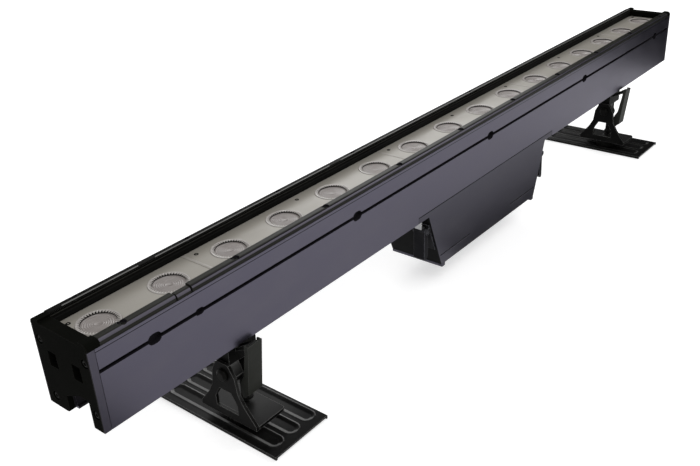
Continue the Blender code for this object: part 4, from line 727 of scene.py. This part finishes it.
@dataclass
class LensRow:
    """The windows over the LEDs: five plates that hold sixteen moulded lenses."""

    shop: Workshop
    pitch: float = 0.0625
    pixels: tuple[int, ...] = (2, 4, 4, 4, 2)
    half_width: float = 0.02855
    thickness: float = 0.0022
    hole: float = 0.016
    play: float = 0.00005
    tooth_length: float = 0.0021
    teeth: int = 40
    ridges: tuple[float, ...] = (0.7, 0.6, 0.5, 0.4, 0.3, 0.2)
    screw_y: float = 0.016
    screw_xs: tuple[float, ...] = (0.0, 0.114, 0.248, 0.365, 0.482)

    def build(self) -> None:
        """Build each window plate with its lenses and screws."""
        first = 0
        for number, count in enumerate(self.pixels, 1):
            low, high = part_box(f"lens_array_{number}")
            numbers = range(first, first + count)
            self._plate(number, low.x, high.x, [self._pixel_x(i) for i in numbers])
            for i in numbers:
                self._lens(i + 1, self._pixel_x(i))
            first += count
        for x in sorted({side * x for x in self.screw_xs for side in (-1, 1)}):
            self._screw(x)

    def _pixel_x(self, index: int) -> float:
        """Where a pixel's centre lies along the bar."""
        return (index - (sum(self.pixels) - 1) / 2) * self.pitch

    def _plate(self, number: int, start: float, end: float, centres: list[float]) -> None:
        """Build a window plate with a round hole for each lens.

        Args:
            number: Its number from the left.
            start: Where it starts along the bar.
            end: Where it ends.
            centres: Its lenses' places along the bar.
        """
        low = ARRAY_TOP - self.thickness
        half = self.half_width
        outline = [(-half, low), (half, low), (half, ARRAY_TOP), (-half, ARRAY_TOP)]
        plate = self.shop.prism(f"window_plate_{number}", Axis.X, outline, start, end)
        holes = []
        for x in centres:
            under, over = low - CUT_PAST, ARRAY_TOP + CUT_PAST
            profile = [(0, under), (self.hole, under), (self.hole, over), (0, over)]
            holes.append(self.shop.turned("hole", profile, Vector((x, 0, 0)), Euler(), 64))
        self.shop.cut(plate, holes)
        self.shop.finish(plate, self.shop.palette.window, "bar", 0.0002, (f"lens_array_{number}",))
        if number > 1:
            seam = [(start + 0.0003, ARRAY_TOP - 0.0002), (start + 0.0032, ARRAY_TOP - 0.0002),
                    (start + 0.0026, ARRAY_TOP + 0.0002), (start + 0.0009, ARRAY_TOP + 0.0002)]
            bead = self.shop.prism(f"window_seam_{number - 1}", Axis.Y, seam, -half, half)
            self.shop.finish(bead, self.shop.palette.window_edge, "bar")

    def _lens(self, number: int, x: float) -> None:
        """Build a lens: a toothed ring, the gap under its teeth in painted shade, and a face sunk below the
        plate, whose outer channel also gets painted shade.

        Args:
            number: Its number from the left.
            x: Its place along the bar.
        """
        palette = self.shop.palette
        edge = self.hole - self.play
        self._toothed_ring(number, x)
        centre = Vector((x, 0, ARRAY_TOP))
        # Painted shade on the ring under the teeth.
        gap = [(edge, -0.0009), (edge - 0.0004, -0.0009), (edge - 0.0004, -0.002),
               (edge, -0.002), (edge, -0.0009)]
        piece = self.shop.turned(f"lens_gap_{number}", gap, centre, Euler(), 64)
        self.shop.finish(piece, palette.lens_gap, "bar")
        face = [(0, -0.0023), (edge, -0.0023), (edge, -0.0021), (edge - 0.003, -0.002),
                (edge - 0.0034, -0.001), (edge - 0.0038, -0.0009), (edge - 0.0042, -0.0013)]
        for share in self.ridges:
            r = share * edge
            face += [(r + 0.0004, -0.00125), (r, -0.00103), (r - 0.0004, -0.00125)]
        face.append((0, -0.0012))
        piece = self.shop.turned(f"lens_face_{number}", face, centre, Euler(), 64)
        self.shop.finish(piece, palette.lens, "bar")
        # Painted shade on the face's outer channel.
        channel = edge - 0.0034
        self.shop.accent(piece, palette.lens_gap, lambda at, normal: math.hypot(at.x - x, at.y) > channel)

    def _toothed_ring(self, number: int, x: float) -> None:
        """Build the ring whose small teeth point inward over the lens's gap.

        Args:
            number: The lens's number.
            x: Its place along the bar.
        """
        body = bmesh.new()
        outer = self.hole - self.play
        top = ARRAY_TOP + STAND_HEIGHT
        steps = 4 * self.teeth
        tooth = (0, 1, 1, 0)
        inner = outer - 0.0012
        bands = ((outer, -0.0009, 0.0), (outer, 0.0001, 0.0), (outer - 0.0004, 0.0005, 0.0),
                 (outer - 0.001, 0.0005, 0.0), (inner, 0.0002, self.tooth_length),
                 (inner, -0.0002, self.tooth_length))
        rings = []
        for radius, rise, reach in bands:
            ring = []
            for i in range(steps):
                angle = 2 * math.pi * i / steps
                r = radius - reach * tooth[i % 4]
                ring.append(body.verts.new((x + r * math.cos(angle), r * math.sin(angle), top + rise)))
            rings.append(ring)
        for first, second in zip(rings, rings[1:] + rings[:1]):
            for i in range(steps):
                j = (i + 1) % steps
                body.faces.new((first[i], first[j], second[j], second[i]))
        piece = self.shop.raw(f"lens_rim_{number}", body)
        self.shop.finish(piece, self.shop.palette.lens_rim, "bar")

    def _screw(self, x: float) -> None:
        """Build a small countersunk screw in a window plate."""
        top = ARRAY_TOP + 0.0003
        profile = [(0, top - 0.0005), (0.0007, top - 0.0004), (0.0008, top), (0.0015, top),
                   (0.0019, top - 0.0003), (0.0019, top - 0.001)]
        name = f"window_screw_{round(abs(x) * 1000)}_{'left' if x < 0 else 'right'}"
        screw = self.shop.turned(name, profile, Vector((x, self.screw_y, 0)), Euler(), 20)
        self.shop.finish(screw, self.shop.palette.dark_screw, "bar")


@dataclass
class EndCap:
    """A cap on one end of the bar with its screws."""

    shop: Workshop
    side: Side
    screw_places: tuple[str, ...] = ("top_front", "top_rear", "leg_front", "leg_rear")

    def build(self) -> None:
        """Dress the cap and build its screws."""
        palette = self.shop.palette
        self.shop.rounded(f"end_cap_{self.side.tag}", palette.cap, 0.0003)
        for place in self.screw_places:
            self._screw(place)

    def _screw(self, place: str) -> None:
        """Build a button screw with a round socket recess.

        Args:
            place: Which of the cap's screws it is.
        """
        node = f"cap_screw_{self.side.tag}_{place}"
        low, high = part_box(node)
        y = (low.y + high.y) / 2
        z = (low.z + high.z) / 2 - STAND_HEIGHT
        top = HALF_LENGTH - 0.0003
        profile = [(0, top - 0.0014), (0.0013, top - 0.0013), (0.0014, top), (0.0021, top - 0.0001),
                   (0.003, top - 0.0007), (0.0034, top - 0.0016), (0.0034, top - 0.0024),
                   (0.0015, top - 0.0024), (0.0015, top - 0.013), (0, top - 0.014)]
        turn = Euler((0, self.side.value * math.pi / 2, 0))
        screw = self.shop.turned(node + "_shown", profile, Vector((0, y, z)), turn, 24)
        self.shop.finish(screw, self.shop.palette.dark_screw, "bar", 0.0, (node,))


@dataclass
class PowerPack:
    """The pack under the bar with its lid, skids, sockets and insides."""

    shop: Workshop
    edge: float = 0.0003
    line_low: float = -0.0522
    line_high: float = -0.0508
    pin_count: int = 3
    pin_circle: float = 0.0031
    pin_depth: float = 0.009

    def build(self) -> None:
        """Dress each piece of the pack."""
        palette = self.shop.palette
        shell = self.shop.rounded("pack_shell", palette.pack_case, self.edge)
        self.shop.accent(shell, palette.pack_end, self._is_black)
        self.shop.rounded("pack_lid", palette.moulding, self.edge)
        self.shop.rounded("contact_block", palette.moulding, self.edge)
        for side in Side:
            self.shop.rounded(f"pack_skid_{side.tag}", palette.pack_case, self.edge)
            self.shop.coat(f"cell_block_{side.tag}", palette.cells)
        self.shop.coat("power_board", palette.board)
        for node in ("power_socket", "data_socket"):
            self.shop.rounded(node, palette.socket_shell, 0.0002)
            self._pins(node)

    def _is_black(self, centre: Vector, normal: Vector) -> bool:
        """Whether a face of the shell is on an end, on top or inside the fine line above a skid."""
        in_line = self.line_low < centre.z < self.line_high and abs(centre.y) < HALF_WIDTH - 0.0001
        return abs(normal.x) > 0.7 or normal.z > 0.7 or in_line

    def _pins(self, node: str) -> None:
        """Build the contact pins inside a socket."""
        low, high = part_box(node)
        x = (low.x + high.x) / 2
        z = (low.z + high.z) / 2 - STAND_HEIGHT
        for i in range(self.pin_count):
            angle = math.radians(90 + 360 * i / self.pin_count)
            profile = [(0, 0.0052), (0.0004, 0.0051), (0.0008, 0.0047), (0.0008, -0.0002), (0, -0.0002)]
            across, up = self.pin_circle * math.cos(angle), self.pin_circle * math.sin(angle)
            centre = Vector((x + across, high.y - self.pin_depth, z + up))
            pin = self.shop.turned(f"{node}_pin_{i + 1}", profile, centre, Euler((-math.pi / 2, 0, 0)), 12)
            self.shop.finish(pin, self.shop.palette.zinc, "bar")


@dataclass
class Clasp:
    """One draw clasp that holds the pack to the bar."""

    shop: Workshop
    side: Side

    def build(self) -> None:
        """Dress the clasp's pieces."""
        palette = self.shop.palette
        tag = self.side.tag
        self.shop.rounded(f"clasp_base_{tag}", palette.clasp, 0.0002)
        self.shop.rounded(f"clasp_lever_{tag}", palette.clasp, 0.0003)
        self.shop.rounded(f"clasp_hook_{tag}", palette.zinc, 0.0002)
        self.shop.rounded(f"clasp_keeper_{tag}", palette.zinc, 0.0002)


@dataclass
class Foot:
    """One clamp foot: the clamp, its lever and barrel, the yoke and the floor plate."""

    shop: Workshop
    side: Side
    yoke_edge: float = 0.0004
    sheet: float = 0.0015
    trough_width: float = 0.0125
    trough_pitch: float = 0.0192
    trough_x: float = 0.0018
    trough_front: float = 0.0082
    trough_rear: float = 0.0042
    trough_depth: float = 0.0011
    trough_slope: float = 0.003
    bead: float = 0.0003
    columns: int = 125
    row_step: float = 0.0005
    row_reach: float = 0.018
    rows_between: int = 16

    def build(self) -> None:
        """Dress the foot's pieces."""
        palette = self.shop.palette
        tag = self.side.tag
        for piece, finish, edge in (
                ("clamp_head", palette.powder, 0.0005), ("clamp_jaw", palette.zinc, 0.0004),
                ("clamp_lever", palette.lever, 0.0004), ("spring_barrel", palette.powder, 0.0003),
                ("tilt_bolt", palette.dark_screw, 0.0003)):
            self.shop.rounded(f"{piece}_{tag}", finish, edge)
        yoke = self.shop.rounded(f"yoke_bracket_{tag}", palette.powder, self.yoke_edge)
        # Painted light on the yoke's upward faces.
        self.shop.accent(yoke, palette.yoke_base, lambda centre, normal: normal.z > 0.95)
        self.shop.rounded(f"swivel_pivot_{tag}", palette.dark_screw, 0.0003)
        self._plate()

    def _plate(self) -> None:
        """Press the floor plate: a sheet with three soft-edged troughs and folded long edges."""
        node = f"foot_plate_{self.side.tag}"
        low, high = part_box(node)
        middle = (low.x + high.x) / 2
        half = (high.x - low.x) / 2
        columns = self.columns
        xs = [low.x + (high.x - low.x) * i / columns for i in range(columns + 1)]
        ys = self._plate_rows(low.y, high.y)
        body = bmesh.new()
        layers = []
        for under in (False, True):
            grid = []
            for y in ys:
                row = []
                for x in xs:
                    z = high.z + self._pressing(x - middle, y, low.y, high.y)
                    if under:
                        folded = abs(x - middle) > half - self.sheet * 1.2
                        z = low.z if folded else max(z - self.sheet, low.z)
                    row.append(body.verts.new((x, y, z)))
                grid.append(row)
            layers.append(grid)
        for grid in layers:
            for first, second in zip(grid, grid[1:]):
                for i in range(columns):
                    body.faces.new((first[i], first[i + 1], second[i + 1], second[i]))
        upper, lower = layers
        rims = [(upper[0], lower[0]), (upper[-1], lower[-1])]
        rims += [([row[i] for row in upper], [row[i] for row in lower]) for i in (0, columns)]
        for over, beneath in rims:
            for i in range(len(over) - 1):
                body.faces.new((over[i], over[i + 1], beneath[i + 1], beneath[i]))
        plate = self.shop.raw(node + "_shown", body)
        self.shop.finish(plate, self.shop.palette.plate, frame["nodes"][node]["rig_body"], 0.0, (node,))
        # Painted highlight on the trough slopes that face the lamps.
        self.shop.accent(plate, self.shop.palette.plate_slope, self._rubbed)

    @staticmethod
    def _rubbed(centre: Vector, normal: Vector) -> bool:
        """Whether a face is a trough's slope that faces the lamps, which gets a painted highlight."""
        return normal.z > 0.5 and (normal.x > 0.14 or (normal.y > 0.2 and normal.x > -0.1))

    def _plate_rows(self, start: float, end: float) -> list[float]:
        """Choose the plate's rows, close together at the troughs' round ends."""
        step, reach, between = self.row_step, self.row_reach, self.rows_between
        count = round(reach / step)
        rows = [start + step * i for i in range(count + 1)]
        gap = end - start - 2 * reach
        rows += [start + reach + gap * i / between for i in range(1, between)]
        return rows + [end - reach + step * i for i in range(count + 1)]

    def _pressing(self, x: float, y: float, start: float, end: float) -> float:
        """How far the sheet's top lies above its plane at a point.

        Args:
            x: Distance from the plate's middle line.
            y: Place across the bar.
            start: The plate's front edge.
            end: Its rear edge.

        Returns:
            The height, which is negative in a trough.
        """
        radius = self.trough_width / 2
        first = start + self.trough_front + radius
        last = end - self.trough_rear - radius
        nearest = 1.0
        for i in (-1, 0, 1):
            across = x - self.trough_x - i * self.trough_pitch
            along = y - min(max(y, first), last)
            nearest = min(nearest, math.hypot(across, along) - radius)
        t = min(max((nearest + self.trough_slope) / self.trough_slope, 0.0), 1.0)
        height = -self.trough_depth * (1 - t * t * (3 - 2 * t))
        beading = math.exp(-((nearest - 0.0007) / 0.0006) ** 2)
        return height + self.bead * beading


@dataclass
class Electronics:
    """The LED boards and the driver board inside the housing."""

    shop: Workshop
    boards: int = 5

    def build(self) -> None:
        """Dress the boards."""
        for number in range(1, self.boards + 1):
            self.shop.coat(f"led_board_{number}", self.shop.palette.board)
        self.shop.coat("driver_board", self.shop.palette.board)


@dataclass
class Studio:
    """The floor, the light and the camera."""

    location: Triple = (-0.7345, -0.4502, 0.4609)
    azimuth: float = -49.99
    elevation: float = 27.38
    roll: float = -3.14
    lens: float = 44.02
    sensor: float = 36.0
    ambient: float = 0.5
    aim: Triple = (0.0, 0.0, 0.1)
    cards: tuple[tuple[float, Triple, Triple], ...] = (
        (0.01, (0.9, -0.7, 0.0), (0.9, 0.35, 0.55)), (0.01, (0.72, -0.5, 0.0002), (0.9, -0.04, 0.0002)),
        (0.15, (-0.03, -0.1, 0.0002), (0.32, -0.03, 0.0002)),
        (0.2, (-0.56, -0.24, 0.0002), (-0.42, -0.05, 0.0002)),
        (0.2, (-0.6, 0.8, 0.2), (0.08, 0.8, 1.2)))
    lamps: tuple[tuple[Triple, float, float], ...] = (
        ((-0.9, -1.6, 2.2), 1.6, 22.0), ((1.9, -0.95, 1.45), 1.2, 12.0),
        ((0.2, 2.0, 2.0), 1.8, 16.0), ((1.25, 1.07, 1.15), 0.9, 6.5))
    floor_reach: float = 6.0
    floor_height: float = -0.0004

    def build(self) -> None:
        """Set up the camera, world, lamps and floor."""
        self._camera()
        self._world()
        for number, (place, size, power) in enumerate(self.lamps, 1):
            self._lamp(number, Vector(place), size, power)
        self._floor()
        for number, (shade, low, high) in enumerate(self.cards, 1):
            self._card(number, shade, low, high)
        bpy.context.scene.view_settings.view_transform = "Standard"

    def _camera(self) -> None:
        """Stand the camera where the photograph was taken from."""
        a = math.radians(self.azimuth)
        e = math.radians(self.elevation)
        r = math.radians(self.roll)
        back = Vector((math.sin(a) * math.cos(e), -math.cos(a) * math.cos(e), math.sin(e)))
        right = Vector((0, 0, 1)).cross(back).normalized()
        up = back.cross(right)
        right_rolled = right * math.cos(r) + up * math.sin(r)
        up_rolled = up * math.cos(r) - right * math.sin(r)
        data = bpy.data.cameras.new("studio_camera")
        data.lens = self.lens
        data.sensor_width = self.sensor
        data.sensor_fit = "HORIZONTAL"
        data.clip_start = 0.01
        camera = link("studio_camera", data)
        turn = Matrix((right_rolled, up_rolled, back)).transposed()
        camera.matrix_world = Matrix.Translation(self.location) @ turn.to_4x4()
        bpy.context.scene.camera = camera

    def _seen(self, tree: Tree, mirrored: float) -> Socket:
        """Mark the rays that should meet the white background."""
        path = tree.nodes.new("ShaderNodeLightPath")
        glossy = calculate(tree, "MULTIPLY", path.outputs["Is Glossy Ray"], mirrored)
        seen = calculate(tree, "MAXIMUM", path.outputs["Is Camera Ray"], glossy)
        return calculate(tree, "MAXIMUM", seen, path.outputs["Is Transmission Ray"])

    def _world(self) -> None:
        """Light the object evenly, and show white behind it."""
        world = bpy.data.worlds.new("studio")
        bpy.context.scene.world = world
        world.use_nodes = True
        tree = world.node_tree
        background = tree.nodes["Background"]
        background.inputs["Color"].default_value = (1, 1, 1, 1)
        seen = self._seen(tree, 1.0)
        added = calculate(tree, "MULTIPLY", seen, 1 - self.ambient)
        strength = calculate(tree, "ADD", self.ambient, added)
        tree.links.new(strength, background.inputs["Strength"])

    def _lamp(self, number: int, place: Vector, size: float, power: float) -> None:
        """Hang a large soft lamp that faces the bar."""
        data = bpy.data.lights.new(f"softbox_{number}", "AREA")
        data.shape = "SQUARE"
        data.size = size
        data.energy = power
        lamp = link(f"softbox_{number}", data)
        lamp.location = place
        lamp.rotation_euler = (place - Vector(self.aim)).to_track_quat("Z", "Y").to_euler()

    @staticmethod
    def _sheet(name: str, corners: list[Triple], material: bpy.types.Material) -> Piece:
        """Make an object of one flat face, which the studio uses."""
        body = bmesh.new()
        body.faces.new([body.verts.new(corner) for corner in corners])
        mesh = bpy.data.meshes.new(name)
        body.to_mesh(mesh)
        body.free()
        mesh.materials.append(material)
        return link(name, mesh)

    def _floor(self) -> None:
        """Lay the pale floor, which keeps the object's shadow."""
        material, shader = new_material("pale_floor")
        tree = material.node_tree
        shader.inputs["Base Color"].default_value = (0.8, 0.8, 0.8, 1)
        shader.inputs["Roughness"].default_value = 0.9
        shader.inputs["Emission Color"].default_value = (1, 1, 1, 1)
        strength = calculate(tree, "MULTIPLY", self._seen(tree, 0.4), 0.5)
        tree.links.new(strength, shader.inputs["Emission Strength"])
        reach, z = self.floor_reach, self.floor_height
        corners = [(-reach, -reach, z), (reach, -reach, z), (reach, reach, z), (-reach, reach, z)]
        floor = self._sheet("studio_floor", corners, material)

    def _card(self, number: int, shade: float, low: Triple, high: Triple) -> None:
        """Place a flat card that only reflections show, standing or lying on the floor.

        Args:
            number: Its number.
            shade: How light it is, from 0 to 1.
            low: Its first corner.
            high: The opposite corner.
        """
        (x0, y0, z0), (x1, y1, z1) = low, high
        if z0 == z1:
            corners = [(x0, y0, z0), (x1, y0, z0), (x1, y1, z0), (x0, y1, z0)]
        else:
            corners = [(x0, y0, z0), (x1, y1, z0), (x1, y1, z1), (x0, y0, z1)]
        material, shader = new_material(f"card_{number}")
        shader.inputs["Base Color"].default_value = (shade, shade, shade, 1)
        shader.inputs["Specular IOR Level"].default_value = 0.0
        card = self._sheet(f"studio_card_{number}", corners, material)
        for kind in ("camera", "diffuse", "transmission", "shadow"):
            setattr(card, f"visible_{kind}", False)


def main() -> None:
    """Build every sub-assembly in order, then the studio."""
    logging.basicConfig(level=logging.INFO, format="%(name)s: %(message)s")
    shop = Workshop(Palette())
    assemblies = [Housing(shop), Rails(shop), LensRow(shop), Electronics(shop), PowerPack(shop)]
    for side in Side:
        assemblies += [EndCap(shop, side), Clasp(shop, side), Foot(shop, side)]
    assemblies.append(Studio())
    for assembly in assemblies:
        LOG.info("building %s", type(assembly).__name__)
        assembly.build()


if __name__ == "__main__":
    main()
